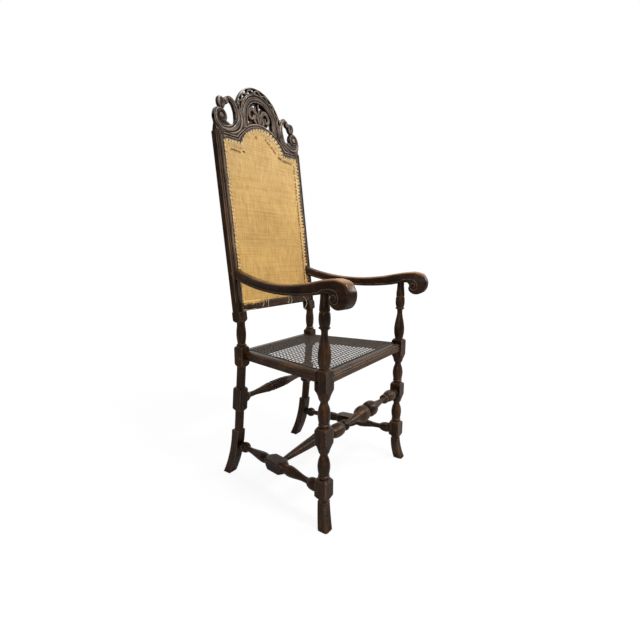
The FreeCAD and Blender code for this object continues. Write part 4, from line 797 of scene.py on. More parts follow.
def crest_back(x, w):
    """The crest's back: as deep as the stiles at its foot, and thinner above them."""
    thicker = np.clip((THIN_FROM - w) / CREST_BACK_RUN, 0, 1)
    return CREST_THICKNESS + (STILE_DEPTH - CREST_THICKNESS) * thicker


DUST_RAMP = 3
DUST_LOW, DUST_HALF = ARCH_CENTRE - 5, 118
MOULDING_DUST, MOULDING_DUST_WIDTH = 0.3, 20


def dusting(x, w):
    """Where dust has greyed the crest: its lattice band, and the moulding round the opening."""
    x = np.abs(x)
    radius, _ = polar(x, w)
    lattice = np.clip((radius - RING_RADIUS) / DUST_RAMP, 0, 1) * (w > DUST_LOW) * (x < DUST_HALF)
    moulding = np.clip(1 - opening_outset(x, w) / MOULDING_DUST_WIDTH, 0, 1) * MOULDING_DUST
    return np.maximum(lattice, moulding)


LIP_WIDTH = 12
LIP_LAP = 2.5
LIP_STEP = 2.0
LIP_BACK_SET = 0.2
CREST_ROUNDING, CREST_BACK_EASE, LIP_ROUNDING = 4.0, 4.5, 1.0


def crest_lip_solid(x, w):
    """The lip behind the burlap: a band inside and just outside the opening's edge."""
    outset = opening_outset(np.abs(x), w)
    return np.minimum.reduce([outset + LIP_WIDTH, LIP_LAP - outset, w - (SHOULDER - LIP_WIDTH)])


def crest_lip_front(x, w):
    return np.full(x.shape, float(REBATE_DEPTH))


def crest_lip_back(x, w):
    return crest_back(x, w) - LIP_BACK_SET


def make_crest():
    """The crest and the lip behind the burlap, each on a grid that reaches a little past it."""
    reach = VOLUTE[0] + VOLUTE_RADIUS + 3
    crest = relief_slab("carved_crest", crest_solid, crest_front, crest_back, (-reach, SHOULDER - 1),
                        (reach, CREST_TOP + 2), CREST_STEP, CREST_ROUNDING, CREST_BACK_EASE)
    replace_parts(crest, "crest_rail")
    half, low, high = OPENING_HALF - LIP_WIDTH, SHOULDER - LIP_WIDTH - 2, OPENING_ARCH_TOP + 4
    relief_slab("crest_lip", crest_lip_solid, crest_lip_front, crest_lip_back, (-half, low), (half, high),
                LIP_STEP, LIP_ROUNDING)


# The woven cane

SEAT_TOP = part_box("seat_rail_front")[1].z / MM
SIDE_RAIL_END_TO_OPENING = 18
SEAT_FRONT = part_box("seat_rail_left")[0].y / MM + SIDE_RAIL_END_TO_OPENING
SEAT_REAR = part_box("seat_rail_back")[0].y / MM
SEAT_FRONT_HALF, SEAT_REAR_HALF = 250, 188
RAIL_WIDTH = 37
HOLE_SET = 8
CANE_PITCH = 14.5
CANE_WIDTH = 2.4
CANE_DEPTH = 0.4
CANE_PAIR = 1.6
CANE_LAYER = 0.3
CANE_WAVE = 0.08
STRAND_SPARE = 20
SHORTEST_SHARE = 0.01
BINDING_WIDTH, BINDING_DEPTH = 4.2, 0.7
BINDING_STEP, BINDING_RISE, BINDING_WAVE = 4, 0.9, 0.2
LOOP_WIDTH, LOOP_DEPTH, STEPS_TO_A_LOOP = 2.0, 0.5, 4
LOOP_BEND = ((-3.6, 0), (-2.2, 1.2), (0, 1.5), (2.2, 1.2), (3.6, 0))
front_half, rear_half = SEAT_FRONT_HALF - RAIL_WIDTH, SEAT_REAR_HALF - RAIL_WIDTH


def clip_to_seat(start, end):
    """The part of a level line that crosses the seat's opening, to its rows of holes."""
    slope = (rear_half - front_half) / (SEAT_REAR - SEAT_FRONT)
    side = slope * SEAT_FRONT - front_half - HOLE_SET
    low, high = 0.0, 1.0
    for across, along, offset in ((0, -1, SEAT_FRONT - HOLE_SET), (0, 1, -SEAT_REAR - HOLE_SET),
                                  (1, -slope, side), (-1, -slope, side)):
        at_start = across * start[0] + along * start[1] + offset
        at_end = across * end[0] + along * end[1] + offset
        if at_start > 0 and at_end > 0:
            return None
        if at_start > 0 > at_end:
            low = max(low, at_start / (at_start - at_end))
        elif at_end > 0 > at_start:
            high = min(high, at_start / (at_start - at_end))
    if high - low < SHORTEST_SHARE:
        return None
    return between(start, end, low), between(start, end, high)


def add_ribbon(points, faces, line, levels, width, depth):
    """A flat strand with rounded edges along a line of level places, at given heights."""
    half, flat, edge = width * 0.5, width * 0.35, depth * 0.5
    profile = ((half, 0), (flat, edge), (-flat, edge), (-half, 0), (-flat, -edge), (flat, -edge))
    faces.extend(tube_faces(len(points), len(line), len(profile)))
    for index, ((x, y), level) in enumerate(zip(line, levels)):
        run_x, run_y = heading(line, index)
        for across, up in profile:
            points.append(((x - run_y * across) * MM, (y + run_x * across) * MM, (level + up) * MM))


def cane_strands():
    """The strands, (start, end, layer): pairs across, pairs fore and aft, and diagonals between them."""
    depth, middle_y = SEAT_REAR - SEAT_FRONT, (SEAT_FRONT + SEAT_REAR) * 0.5
    reach_x, reach_y = front_half + STRAND_SPARE, depth * 0.5 + STRAND_SPARE
    rows, columns = int(depth / CANE_PITCH), int(2 * front_half / CANE_PITCH)
    strands = []
    for row in range(rows + 1):
        y = middle_y + (row - rows / 2) * CANE_PITCH
        for pair in (-CANE_PAIR, CANE_PAIR):
            strands.append(((-reach_x, y + pair), (reach_x, y + pair), 0))
    for column in range(columns + 1):
        x = (column - columns / 2) * CANE_PITCH
        for pair in (-CANE_PAIR, CANE_PAIR):
            strands.append(((x + pair, middle_y - reach_y), (x + pair, middle_y + reach_y), 0.5))
    length = reach_x + reach_y
    for slant in (-1, 1):
        for number in range(-columns - rows, columns + rows + 1):
            offset = (number + 0.5 + (columns + rows) % 2 * 0.5) * CANE_PITCH
            strands.append(((offset - slant * length, middle_y - length),
                            (offset + slant * length, middle_y + length), 1))
    return strands


def add_binding(points, faces, base):
    """The binding cane over the rows of holes, and the loops that hold it down."""
    front_x, front_y = front_half + HOLE_SET, SEAT_FRONT - HOLE_SET
    rear_x, rear_y = rear_half + HOLE_SET, SEAT_REAR + HOLE_SET
    corners = [(-front_x, front_y), (front_x, front_y), (rear_x, rear_y), (-rear_x, rear_y)]
    for start, end in zip(corners, corners[1:] + corners[:1]):
        count = int(math.dist(start, end) / BINDING_STEP)
        line = [between(start, end, index / count) for index in range(count + 1)]
        levels = [base + BINDING_RISE + BINDING_WAVE * math.cos(index * 0.9) for index in range(count + 1)]
        add_ribbon(points, faces, line, levels, BINDING_WIDTH, BINDING_DEPTH)
        run_x, run_y = heading((start, end), 0)
        for x, y in line[2:count:STEPS_TO_A_LOOP]:
            loop = [(x - run_y * across, y + run_x * across) for across, _ in LOOP_BEND]
            add_ribbon(points, faces, loop, [base + up for _, up in LOOP_BEND], LOOP_WIDTH, LOOP_DEPTH)


def make_cane():
    """Six-way cane, its diagonals crossing midway along the pairs, with its binding."""
    points, faces = [], []
    base = SEAT_TOP + CANE_DEPTH * 0.6
    for start, end, layer in cane_strands():
        clipped = clip_to_seat(start, end)
        if clipped is None:
            continue
        count = max(int(math.dist(*clipped) / (CANE_PITCH * 0.5)), 2)
        line = [between(*clipped, index / count) for index in range(count + 1)]
        levels = [base + layer * CANE_LAYER + CANE_WAVE * (-1) ** index for index in range(count + 1)]
        add_ribbon(points, faces, line, levels, CANE_WIDTH, CANE_DEPTH)
    add_binding(points, faces, base)
    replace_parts(new_piece("woven_cane", points, faces, cane_material, 50), "cane_seat")


# The burlap over the back's opening

CLOTH_DEPTH = 7.2
CLOTH_STEP = 4.0
EDGE_CLEARANCE = 0.8
ARCH_PARTS = 24
WAVE_HEIGHT, PUCKER_HEIGHT, PUCKER_REACH = 0.3, 0.15, 18


def opening_points(step):
    """Places along the opening's edge: from low right, over the arch, to low left."""
    right = [(OPENING_HALF, RAIL_TOP), (OPENING_HALF, SHOULDER), (OPENING_ARCH_HALF, SHOULDER)]
    start = math.acos(min(OPENING_ARCH_HALF / OPENING_ARCH_RADIUS, 1))
    angles = [start + (math.pi - 2 * start) * index / ARCH_PARTS for index in range(ARCH_PARTS + 1)]
    arch = [(OPENING_ARCH_RADIUS * math.cos(angle),
             OPENING_ARCH_CENTRE + OPENING_ARCH_RADIUS * math.sin(angle)) for angle in angles]
    corners = right + arch + [(-x, w) for x, w in reversed(right)]
    places = []
    for start, end in zip(corners, corners[1:]):
        count = max(int(math.dist(start, end) / step), 1)
        places += [between(start, end, index / count) for index in range(count)]
    return places + [corners[-1]]


def opening_top(x):
    """The cloth's upper edge over a place across."""
    if abs(x) > OPENING_ARCH_HALF - EDGE_CLEARANCE:
        return SHOULDER - EDGE_CLEARANCE
    return OPENING_ARCH_CENTRE + math.sqrt((OPENING_ARCH_RADIUS - EDGE_CLEARANCE) ** 2 - x ** 2)


def ripple(x, w):
    """The cloth's unevenness behind its plane: long soft waves, and puckers near the tacks."""
    wave = math.sin(x * 0.043 + 1.3 * math.sin(w * 0.011)) * math.sin(w * 0.019 + 0.6)
    pucker = math.sin(x * 0.19 + w * 0.05) * math.exp(-((OPENING_HALF - abs(x)) / PUCKER_REACH) ** 2)
    return WAVE_HEIGHT * wave + PUCKER_HEIGHT * pucker


def make_cloth():
    """The burlap sheet, cut to the opening and stretched in the rebate, and its area."""
    columns = int(2 * OPENING_HALF / CLOTH_STEP)
    rows = int((OPENING_ARCH_TOP - RAIL_TOP) / CLOTH_STEP)
    half, low = OPENING_HALF - EDGE_CLEARANCE, RAIL_TOP + EDGE_CLEARANCE
    points = []
    for column in range(columns + 1):
        x = -half + 2 * half * column / columns
        for row in range(rows + 1):
            w = low + (opening_top(x) - low) * row / rows
            points.append(on_back(x, CLOTH_DEPTH + ripple(x, w), w))
    faces = grid_faces(columns + 1, rows + 1)
    cloth = new_piece("burlap_sheet", points, faces, burlap_material, 60)
    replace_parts(cloth, "burlap_cover")
    return cloth, sum(polygon.area for polygon in cloth.data.polygons)


# The hem: its scallops between the tacks, and its slope from over the frame down to the cloth
SCALLOP = 12.5
SCALLOP_FROM, SCALLOP_DEPTH, SCALLOP_SWAY, SCALLOP_RAGS = -4, 10, 1.6, 0.7
SCALLOP_ROUNDNESS = 0.6
HEM_STEP = 1.5
HEM_EDGE_DEPTH = 1.1
HEM_SLOPE = 0.5
HEM_WIDTH = 11
HEM_LIFT = 1.8
HEM_SHARES = (0, 0.08, 0.2, 0.4, 0.65, 0.85, 1)


def edge_frames(step):
    """Places along the opening's edge, each with the direction straight out from it."""
    places = opening_points(step)
    frames = []
    for index, (x, w) in enumerate(places):
        run_x, run_w = heading(places, index)
        frames.append((x, w, run_w, -run_x))
    return frames


def hem_depth(outset):
    """How deep the hem lies, from in front of the frame outside the opening down to the cloth inside."""
    return HEM_EDGE_DEPTH - HEM_SLOPE * outset


def hem_reach(distance):
    """How far the hem laps over the frame: scallops between its tacks, of uneven depth."""
    scallop = abs(math.sin(math.pi * distance / SCALLOP)) ** SCALLOP_ROUNDNESS
    depth = SCALLOP_DEPTH + SCALLOP_SWAY * math.sin(distance * 0.031)
    return SCALLOP_FROM + depth * scallop + SCALLOP_RAGS * math.sin(distance * 2.3)


def make_hem():
    """The cloth's edge, drawn out over the frame in small scallops."""
    points, frames = [], edge_frames(HEM_STEP)
    for index, (x, w, out_x, out_w) in enumerate(frames):
        reach = hem_reach(index * HEM_STEP)
        inner = HEM_WIDTH + 1.5 * math.sin(index * 0.11) + math.sin(index * 0.37 + 1)
        bulge = HEM_LIFT * abs(math.sin(math.pi * index * HEM_STEP / SCALLOP))
        for share in HEM_SHARES:
            outset = reach - (reach + inner) * share
            depth = hem_depth(outset) - bulge * math.sin(math.pi * share)
            points.append(on_back(x + out_x * outset, depth, w + out_w * outset))
    faces = grid_faces(len(frames), len(HEM_SHARES))
    return new_piece("burlap_hem", points, faces, hem_material, 60)


def add_thread(points, faces, line, radius, sides=5):
    """A round thread along places given in metres."""
    faces.extend(tube_faces(len(points), len(line), sides))
    for index, place in enumerate(line):
        before, after = neighbours(line, index)
        along = (Vector(after) - Vector(before)).normalized()
        across = along.cross(Vector((0.3, 1, 0.2))).normalized()
        other = along.cross(across)
        for side in range(sides):
            angle = 2 * math.pi * side / sides
            offset = (across * math.cos(angle) + other * math.sin(angle)) * radius
            points.append(tuple(Vector(place) + offset))


# The loose ends of the hem: how many are left out, and how many point in over the cloth
FRAY_STEP = 1.7
FRAYS_LEFT_OUT, FRAYS_TURNED_IN = 0.62, 0.4
FRAY_ROOT = 2
FRAY_RADII = (0.5, 1.0)
FRAY_DEEPEST_OUTSET = 5


def make_frays():
    """Loose jute ends that stick out of the hem over the frame, and in over the cloth."""
    points, faces = [], []
    for index, (x, w, out_x, out_w) in enumerate(edge_frames(FRAY_STEP)):
        if chance.random() < FRAYS_LEFT_OUT:
            continue
        start = hem_reach(index * FRAY_STEP) - FRAY_ROOT
        length, slant = chance.uniform(2, 4.5), chance.uniform(-1.6, 1.6)
        if chance.random() < FRAYS_TURNED_IN:
            start, length = -HEM_WIDTH + 1, -chance.uniform(2, 6)
        line = []
        for share in (0, 0.33, 0.66, 1):
            outset, aside = start + length * share, slant * length * share
            depth = hem_depth(min(outset, FRAY_DEEPEST_OUTSET)) - 0.5 - chance.uniform(0, 0.8) * share
            line.append(on_back(x + out_x * outset - out_w * aside, depth,
                                w + out_w * outset + out_x * aside))
        add_thread(points, faces, line, chance.uniform(*FRAY_RADII) * MM)
    return new_piece("frayed_edge", points, faces, thread_material, 60)


# The torn lower edge: the flap's run across, and its depths at shares of its drop
TORN_FROM, TORN_TO = -176, -92
TORN_COLUMNS = 56
RAIL_FACE = 2.4
FLAP = ((0, 6.2), (0.35, 4), (0.6, RAIL_FACE), (0.8, RAIL_FACE - 0.6), (1, RAIL_FACE - 0.4))
FLAP_ABOVE = 6
TUFTS = 60
TUFTS_PAST = 30
TUFT_RADII = (0.3, 0.6)

# Each loose thread's start and end, (across, up) in the back, and how far it bows aside
THREAD_LOOPS = (((-84, 58), (-90, 33), 3), ((-54, 57), (-61, 30), -4), ((54, 55), (47, 32), 4),
                ((69, 55), (66, 27), 3), ((143, 49), (142, -3), 19), ((-186, 31), (-124, 29), 0))
LOOP_PARTS = 12
LOOP_RADIUS = 0.75


def add_hanging_thread(points, faces, start, end, bow):
    """A loose thread between two places in the back, bowed to one side."""
    line = []
    for step in range(LOOP_PARTS + 1):
        share = step / LOOP_PARTS
        swing = math.sin(math.pi * share)
        x, w = between(start, end, share)
        line.append(on_back(x + bow * swing, RAIL_FACE - 0.8 - 2 * swing, w + 0.8 * math.sin(share * 9)))
    add_thread(points, faces, line, LOOP_RADIUS * MM, 6)


def make_torn_bottom():
    """The torn lower edge: a ragged flap with tufts over the rail, and thread loops that hang from it."""
    points = []
    for index in range(TORN_COLUMNS + 1):
        x = TORN_FROM + (TORN_TO - TORN_FROM) * index / TORN_COLUMNS
        drop = 4.5 + 4 * math.sin(index * 0.35) * math.sin(index * 0.13 + 1) + chance.uniform(-1.5, 1.5)
        for share, depth in FLAP:
            points.append(on_back(x, depth, RAIL_TOP + FLAP_ABOVE - (FLAP_ABOVE + drop) * share))
    faces = [(a, d, c, b) for a, b, c, d in grid_faces(TORN_COLUMNS + 1, len(FLAP))]
    for _ in range(TUFTS):
        x, w = chance.uniform(TORN_FROM, TORN_TO + TUFTS_PAST), RAIL_TOP + chance.uniform(-4, 4)
        drop, slide = chance.uniform(3, 10), chance.uniform(-7, 7)
        line = [on_back(x + slide * s, RAIL_FACE - 0.9 - 1.5 * math.sin(3 * s), w - drop * s ** 1.4)
                for s in (0, 0.25, 0.5, 0.75, 1)]
        add_thread(points, faces, line, chance.uniform(*TUFT_RADII) * MM)
    torn = new_piece("torn_edge", points, faces, hem_material, 60)
    points, faces = [], []
    for start, end, bow in THREAD_LOOPS:
        add_hanging_thread(points, faces, start, end, bow)
    return torn, new_piece("thread_loops", points, faces, pale_thread, 60)


# Each row of dark stitch marks, whose brown also paints shade along the hem: places along it, a mark's
# length and the gap after it
STITCH_AND_SHADE_ROWS = (
    (((18, 620), (49, 600), (82, 570), (113, 560), (150, 558), (172, 552), (171, 489), (171, 300),
      (170, 80)), 7, 5),
    (((-152, 553), (-106, 549)), 7, 4),
    (((-98, 556), (-85, 553)), 8, 4),
    # The row down the left side is painted shade: dark marks in the shadowed gap between the hem and the
    # moulding
    (((-174, 552), (-173, 300), (-174, 90)), 5, 7.5),
)
STITCH_DEPTH = 4.6
STITCH_BOW = 0.8
STITCH_WANDER = 1.3
STITCH_RADIUS = 1.5


def make_stitches_and_shade():
    """Brown tacking stitches, also painting shade along the hem: over the right of the arch, down both
    sides, and at the left shoulder; the left side's row is painted shade.
    """
    points, faces = [], []
    for row, stitch, gap in STITCH_AND_SHADE_ROWS:
        for start, end in zip(row, row[1:]):
            run = math.dist(start, end)
            for index in range(int(run / (stitch + gap))):
                line = []
                for step in (0, 0.5, 1):
                    x, w = between(start, end, (index * (stitch + gap) + stitch * step) / run)
                    aside = chance.uniform(-STITCH_WANDER, STITCH_WANDER)
                    depth = STITCH_DEPTH - STITCH_BOW * math.sin(math.pi * step)
                    line.append(on_back(x + aside, depth, w - aside))
                add_thread(points, faces, line, STITCH_RADIUS * MM, 6)
    return new_piece("tacking_stitches_and_shade", points, faces, stitch_and_shade_thread, 60)


# Turned work

LEG_X, LEG_Y = 244, -186.4
FOOT_TOP = 79
FOOT_SWING = (11, -12)
BLOCK_HALF = 20
CORNER = 27.6
LEG_SIDES = 96
NO_BLOCK = 100.0

# Radii at distances along a turning, in millimetres
VASE = ((0.5, 13), (3.5, 13), (4, 15.8), (6, 16.8), (8, 15.8), (9, 14.5), (12, 15.5), (36, 18.3),
        (52, 16.3), (62, 13.2), (68, 11.2), (73, 11.2), (75.5, 12.5))
LOW_BLOCK = ((FOOT_TOP, 15), (84, 15.7), (90, 18.5), (97, CORNER), (140, CORNER), (144, 23.5), (148, 17.5),
             (150, 14))
ARM_SUPPORT = ((0.5, 13.5), (2.5, 13.5), (3, 15), (5, 15.6), (7, 15), (8, 15.5), (20, 17.8), (34, 18.4),
               (60, 15.5), (80, 11.5), (96, 9.3), (104, 9.8), (108, 13), (110, 15.8), (111.5, 16.2),
               (113, 15.8), (115, 13), (116, 13.5), (124, 15.6), (136, 16.4), (146, 15.8), (153, 14.6),
               (153.5, 13.2), (155.5, 13.2), (156, 14.8), (165, 14.6), (180, 13.2), (207, 11.8))
FRONT_STRETCHER = ((0, 10.5), (5, 10.5), (6, 14), (8, 19.5), (12, 23.6), (21, 25.6), (33, 25.4),
                   (43, 22.6), (51, 18), (56, 15.4), (60, 14), (75, 12), (95, 9.6), (116, 8), (121, 8.4),
                   (124, 9.4), (125, 12.5), (129, 15.6), (134, 16.6), (139, 15.6), (143, 12), (144, 9.4),
                   (148, 9.2), (150, 12), (155, 16.5), (164, 19.4), (176, 20.2), (190, 18.8), (202, 15),
                   (207, 12), (208, 10.5), (213, 10.5), (214, 13), (220, 13.5), (230, 13.5))
SIDE_STRETCHER = ((-192, 12), (-182, 12.5), (-178, 15.5), (-168, 18.2), (-158, 17.8), (-148, 15),
                  (-142, 11.5), (-140, 9.8), (-132, 9), (-118, 9.4), (-100, 11.8), (-80, 15),
                  (-62, 16.8), (-54, 16.2), (-46, 14.8), (-42, 15.6), (-34, 20.5), (-24, CORNER),
                  (24, CORNER), (34, 20.5), (42, 15.6), (46, 14.8), (54, 16.2), (64, 16.8), (84, 15),
                  (108, 11.8), (130, 9.4), (148, 9), (150, 11.5), (155, 16), (163, 18), (171, 16.8),
                  (177, 13.5), (200, 12.5))
REAR_STRETCHER = ((0, 18.4), (4, 17), (6, 12.8), (8, 12.8), (10, 17), (14, 18.4), (18, 17), (20, 12.8),
                  (22, 12.8), (24, 17), (28, 18.4), (31, 17), (32, 12.4), (34.5, 12.4), (35, 15.5),
                  (41, 17), (50, 17), (60, 15.6), (80, 13), (100, 10.8), (125, 9), (140, 9.4), (146, 10),
                  (154, 13), (162, 17.5), (168, 19), (172, 17.5), (174, 14), (186, 12))
SIDE_MIDDLE_Y = 13.3
SIDE_SLOPE = -53 / 368


def block_run(low, high):
    """Radii over a block: round at its ends, and out past its corners between them."""
    return [(low, 14.3), (low + 2, 15.2), (low + 13, 18.6), (low + 22, 22.5), (low + 31, CORNER),
            (high - 10, CORNER), (high - 6, 23.5), (high - 2, 17.5), (high, 14)]


def raised(steps, low):
    """Radii moved up by a distance."""
    return [(low + up, radius) for up, radius in steps]


# Heights on the front leg where its turnings and blocks meet
LOW_BLOCK_TOP, STRETCHER_BLOCK, STRETCHER_BLOCK_TOP, SEAT_BLOCK, SEAT_BLOCK_TOP = 150, 226, 303, 380, 469

LEG_RUN = (list(LOW_BLOCK) + raised(VASE, LOW_BLOCK_TOP) + block_run(STRETCHER_BLOCK, STRETCHER_BLOCK_TOP)
           + raised(VASE, STRETCHER_BLOCK_TOP) + block_run(SEAT_BLOCK, SEAT_BLOCK_TOP)
           + raised(ARM_SUPPORT, SEAT_BLOCK_TOP))


def eased_run(profile, step=1.5):
    """Smooth radii along a turned profile, which never swing past the given ones."""
    places = np.array(profile, float)
    gaps = np.diff(places[:, 0])
    slopes = np.diff(places[:, 1]) / gaps
    bends = np.zeros(len(places))
    for index in range(1, len(places) - 1):
        before, after = slopes[index - 1], slopes[index]
        if before * after > 0:
            bends[index] = 2 * before * after / (before + after)
    samples = []
    for index, gap in enumerate(gaps):
        (at, low), (_, high) = places[index], places[index + 1]
        leave, arrive = bends[index] * gap, bends[index + 1] * gap
        for s in np.linspace(0, 1, max(int(gap / step), 2), endpoint=False):
            radius = ((2 * s ** 3 - 3 * s ** 2 + 1) * low + (s ** 3 - 2 * s ** 2 + s) * leave
                      + (3 * s ** 2 - 2 * s ** 3) * high + (s ** 3 - s ** 2) * arrive)
            samples.append((at + gap * s, radius))
    return samples + [tuple(places[-1])]


def skin(points, faces, rings):
    """A closed skin over rings of places in metres, each turning forward round the way they run."""
    faces.extend(tube_faces(len(points), len(rings), len(rings[0])))
    for ring in rings:
        points.extend(ring)


def add_turning(points, faces, origin, axis, profile, block=NO_BLOCK, sides=48):
    """A turned bar along an axis, its rings cut square where they pass a block's sides."""
    axis = Vector(axis).normalized()
    across = (Vector((0, -1, 0)) if axis.z > 0.9 else Vector((0, 0, 1))).cross(axis).normalized()
    upright = axis.cross(across)
    rings = []
    for distance, radius in eased_run(profile):
        middle = Vector(origin) + axis * distance
        ring = []
        for side in range(sides):
            cosine, sine = math.cos(2 * math.pi * side / sides), math.sin(2 * math.pi * side / sides)
            reach = min(radius, block / max(abs(cosine), abs(sine)))
            ring.append(tuple((middle + (across * cosine + upright * sine) * reach) * MM))
        rings.append(ring)
    skin(points, faces, rings)


def mirrored(half):
    """A half profile, (distance, radius), made whole on both sides of its middle."""
    return [(-distance, radius) for distance, radius in reversed(half[1:])] + list(half)


# The foot: a square of half a width, with softened corners, that flares and swings as it drops
FOOT_LAYERS = 44
FOOT_HALF, FOOT_FLARE = 14.5, 2.7
FOOT_CURVE = 1.74
FOOT_SQUARENESS = 5
REED_DEPTH, REED_RUN_IN = 1.8, 6


def foot_rings(side):
    """The flared, reeded foot: a rounded square that swings out and forward to its flat sole."""
    rings = []
    for step in range(FOOT_LAYERS + 1):
        z = FOOT_TOP * step / FOOT_LAYERS
        drop = 1 - z / FOOT_TOP
        swing = drop ** FOOT_CURVE
        x, y = (LEG_X + FOOT_SWING[0] * swing) * side, LEG_Y + FOOT_SWING[1] * swing
        half, groove = FOOT_HALF + FOOT_FLARE * drop, REED_DEPTH * min(drop * REED_RUN_IN, 1)
        ring = []
        for k in range(LEG_SIDES):
            angle = 2 * math.pi * k / LEG_SIDES
            cosine, sine = math.cos(angle), math.sin(angle)
            square = abs(cosine) ** FOOT_SQUARENESS + abs(sine) ** FOOT_SQUARENESS
            square = square ** (-1 / FOOT_SQUARENESS)
            along_face = math.tan((angle + math.pi / 4) % (math.pi / 2) - math.pi / 4)
            reed = math.sqrt(abs(math.sin(2 * math.pi * (along_face + 1))))
            reach = half * square - groove * (1 - reed)
            ring.append(((x + reach * cosine) * MM, (y + reach * sine) * MM, z * MM))
        rings.append(ring)
    return rings


def make_front_legs():
    for side, name in SIDES:
        points, faces = [], []
        skin(points, faces, foot_rings(side))
        add_turning(points, faces, (LEG_X * side, LEG_Y, 0), (0, 0, 1), LEG_RUN, BLOCK_HALF, LEG_SIDES)
        leg = new_piece(f"turned_leg_{name}", points, faces, upright_wood, 40)
        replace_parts(leg, f"front_leg_{name}")


def make_stretcher(name, node, origin, axis, profile, material, block=NO_BLOCK):
    points, faces = [], []
    add_turning(points, faces, origin, axis, profile, block)
    stretcher = new_piece(name, points, faces, material, 40)
    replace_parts(stretcher, node)


FRONT_STRETCHER_Z = 267
REAR_STRETCHER_Y, REAR_STRETCHER_Z = 195.5, 286.6
SIDE_STRETCHER_Z = 114
SIDE_BLOCK_HALF = BLOCK_HALF - 0.5


def make_stretchers():
    make_stretcher("bulbed_front_stretcher", "front_stretcher", (0, LEG_Y, FRONT_STRETCHER_Z), (1, 0, 0),
                   mirrored(FRONT_STRETCHER), turned_wood)
    make_stretcher("ringed_rear_stretcher", "rear_stretcher", (0, REAR_STRETCHER_Y, REAR_STRETCHER_Z),
                   (1, 0, 0), mirrored(REAR_STRETCHER), cross_wood)
    middle_x = LEG_X + SIDE_SLOPE * (SIDE_MIDDLE_Y - LEG_Y)
    for side, name in SIDES:
        make_stretcher(f"blocked_side_stretcher_{name}", f"side_stretcher_{name}",
                       (middle_x * side, SIDE_MIDDLE_Y, SIDE_STRETCHER_Z), (SIDE_SLOPE * side, 1, 0),
                       SIDE_STRETCHER, fore_wood, SIDE_BLOCK_HALF)


# Pale beads on the stiles' outer sides and fronts, whose paler wood paints the highlights of the stiles'
# mouldings

# Each bead's place across and its depth, its radius, and how far up it runs
STILE_BEADS = ((208, 4.5, 1.8, 597), (193, 2.0, 4.4, 584))
STILE_BEAD_FOOT = 58
STILE_BEAD_PLACES = 24


def make_stile_beads():
    for side, name in SIDES:
        points, faces = [], []
        for across, depth, radius, top in STILE_BEADS:
            line = [on_back(side * across, depth, w)
                    for w in np.linspace(STILE_BEAD_FOOT, top, STILE_BEAD_PLACES)]
            add_thread(points, faces, line, radius * MM, 12)
        new_piece(f"stile_beads_{name}", points, faces, highlight_upright, 50)


# The seat rails, with a rounded and quirked upper edge

# Places out from the rail's outer face and up from the seat's top
RAIL_OUTLINE = ((-34, 0), (-12, 0), (-11.6, -0.3), (-8, -1), (-5, -2), (-2.6, -3.8), (-1.2, -6.2),
                (-1.2, -8.2), (-2.8, -8.8), (-2.8, -10.4), (-0.8, -11), (0, -12.2), (0, -26.5),
                (-1.4, -28), (-34, -28))

# Each rail's name, the upper edge of its outer face from end to end, and its wood
RAIL_LINES = (("front", ((-238, -200.4), (238, -200.4)), rail_wood),
              ("right", ((-188.3, 181), (-249.7, -183)), side_rail_wood),
              ("left", ((249.7, -183), (188.3, 181)), side_rail_wood))


def make_rails():
    for name, (start, end), material in RAIL_LINES:
        run = Vector((end[0] - start[0], end[1] - start[1], 0)).normalized()
        outward = run.cross(Vector((0, 0, 1)))
        rings = [[tuple((Vector((x, y, SEAT_TOP + up)) + outward * out) * MM) for out, up in RAIL_OUTLINE]
                 for x, y in (start, end)]
        points, faces = [], []
        skin(points, faces, rings)
        rail = new_piece(f"moulded_rail_{name}", points, [face[::-1] for face in faces], material,
                         30)
        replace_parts(rail, f"seat_rail_{name}")


# The scrolled arms

ARM_TURN = math.atan(-SIDE_SLOPE)
ARM_HALF = 20.5
ARM_TAPER_FROM, ARM_END, ARM_END_HALF = 120, 387, 14.5

# Places along the arm, back from the leg, and up: on its top, on its underside, and round its scroll
ARM_HIGH = ((391, 727), (172, 688), (40, 700))
ARM_LOW = ((-27, 675), (172, 658), (392, 696))
ARM_NOSE = ((-10, 709), (-40, 712.3), (-56, 712), (-80, 705), (-93, 686), (-95, 673), (-92, 656),
            (-82, 642), (-66, 634.5), (-52, 634.5), (-40, 640), (-33, 649), (-32, 658), (-34, 664),
            (-30, 672), (-22, 674.5), (0, 671))
ARM_BEAD = ((-10, 683), (-30, 686), (-45, 684.5), (-53, 681), (-60, 673), (-63, 662), (-60, 653),
            (-50, 648.4), (-41, 652), (-37, 662), (-42, 670), (-50, 672.4), (-55, 668), (-54, 661),
            (-50, 658))

ARM_STATIONS = 40
ARM_NOSE_FROM = 30
ARM_EDGE, ARM_TOP_EDGE, ARM_NOSE_EDGE = 3, 7, 4
BEAD_RUN = (372, 12)
BEAD_SET = 6
BEAD_RADIUS = 1.7


def on_arm(side, across, along, z):
    """A place on an arm in metres: across its own width outward, back from the leg, and up."""
    x = LEG_X + across * math.cos(ARM_TURN) - along * math.sin(ARM_TURN)
    y = LEG_Y + across * math.sin(ARM_TURN) + along * math.cos(ARM_TURN)
    return x * side * MM, y * MM, z * MM


def dipping_arc(a, b, c):
    """The lower half of the circle through three places, as heights at distances along."""
    (ax, ay), (bx, by), (cx, cy) = a, b, c
    double = 2 * (ax * (by - cy) + bx * (cy - ay) + cx * (ay - by))
    squares = [x * x + y * y for x, y in (a, b, c)]
    x = (squares[0] * (by - cy) + squares[1] * (cy - ay) + squares[2] * (ay - by)) / double
    y = (squares[0] * (cx - bx) + squares[1] * (ax - cx) + squares[2] * (bx - ax)) / double
    radius = math.hypot(ax - x, ay - y)
    return lambda along: y - math.sqrt(radius ** 2 - (along - x) ** 2)


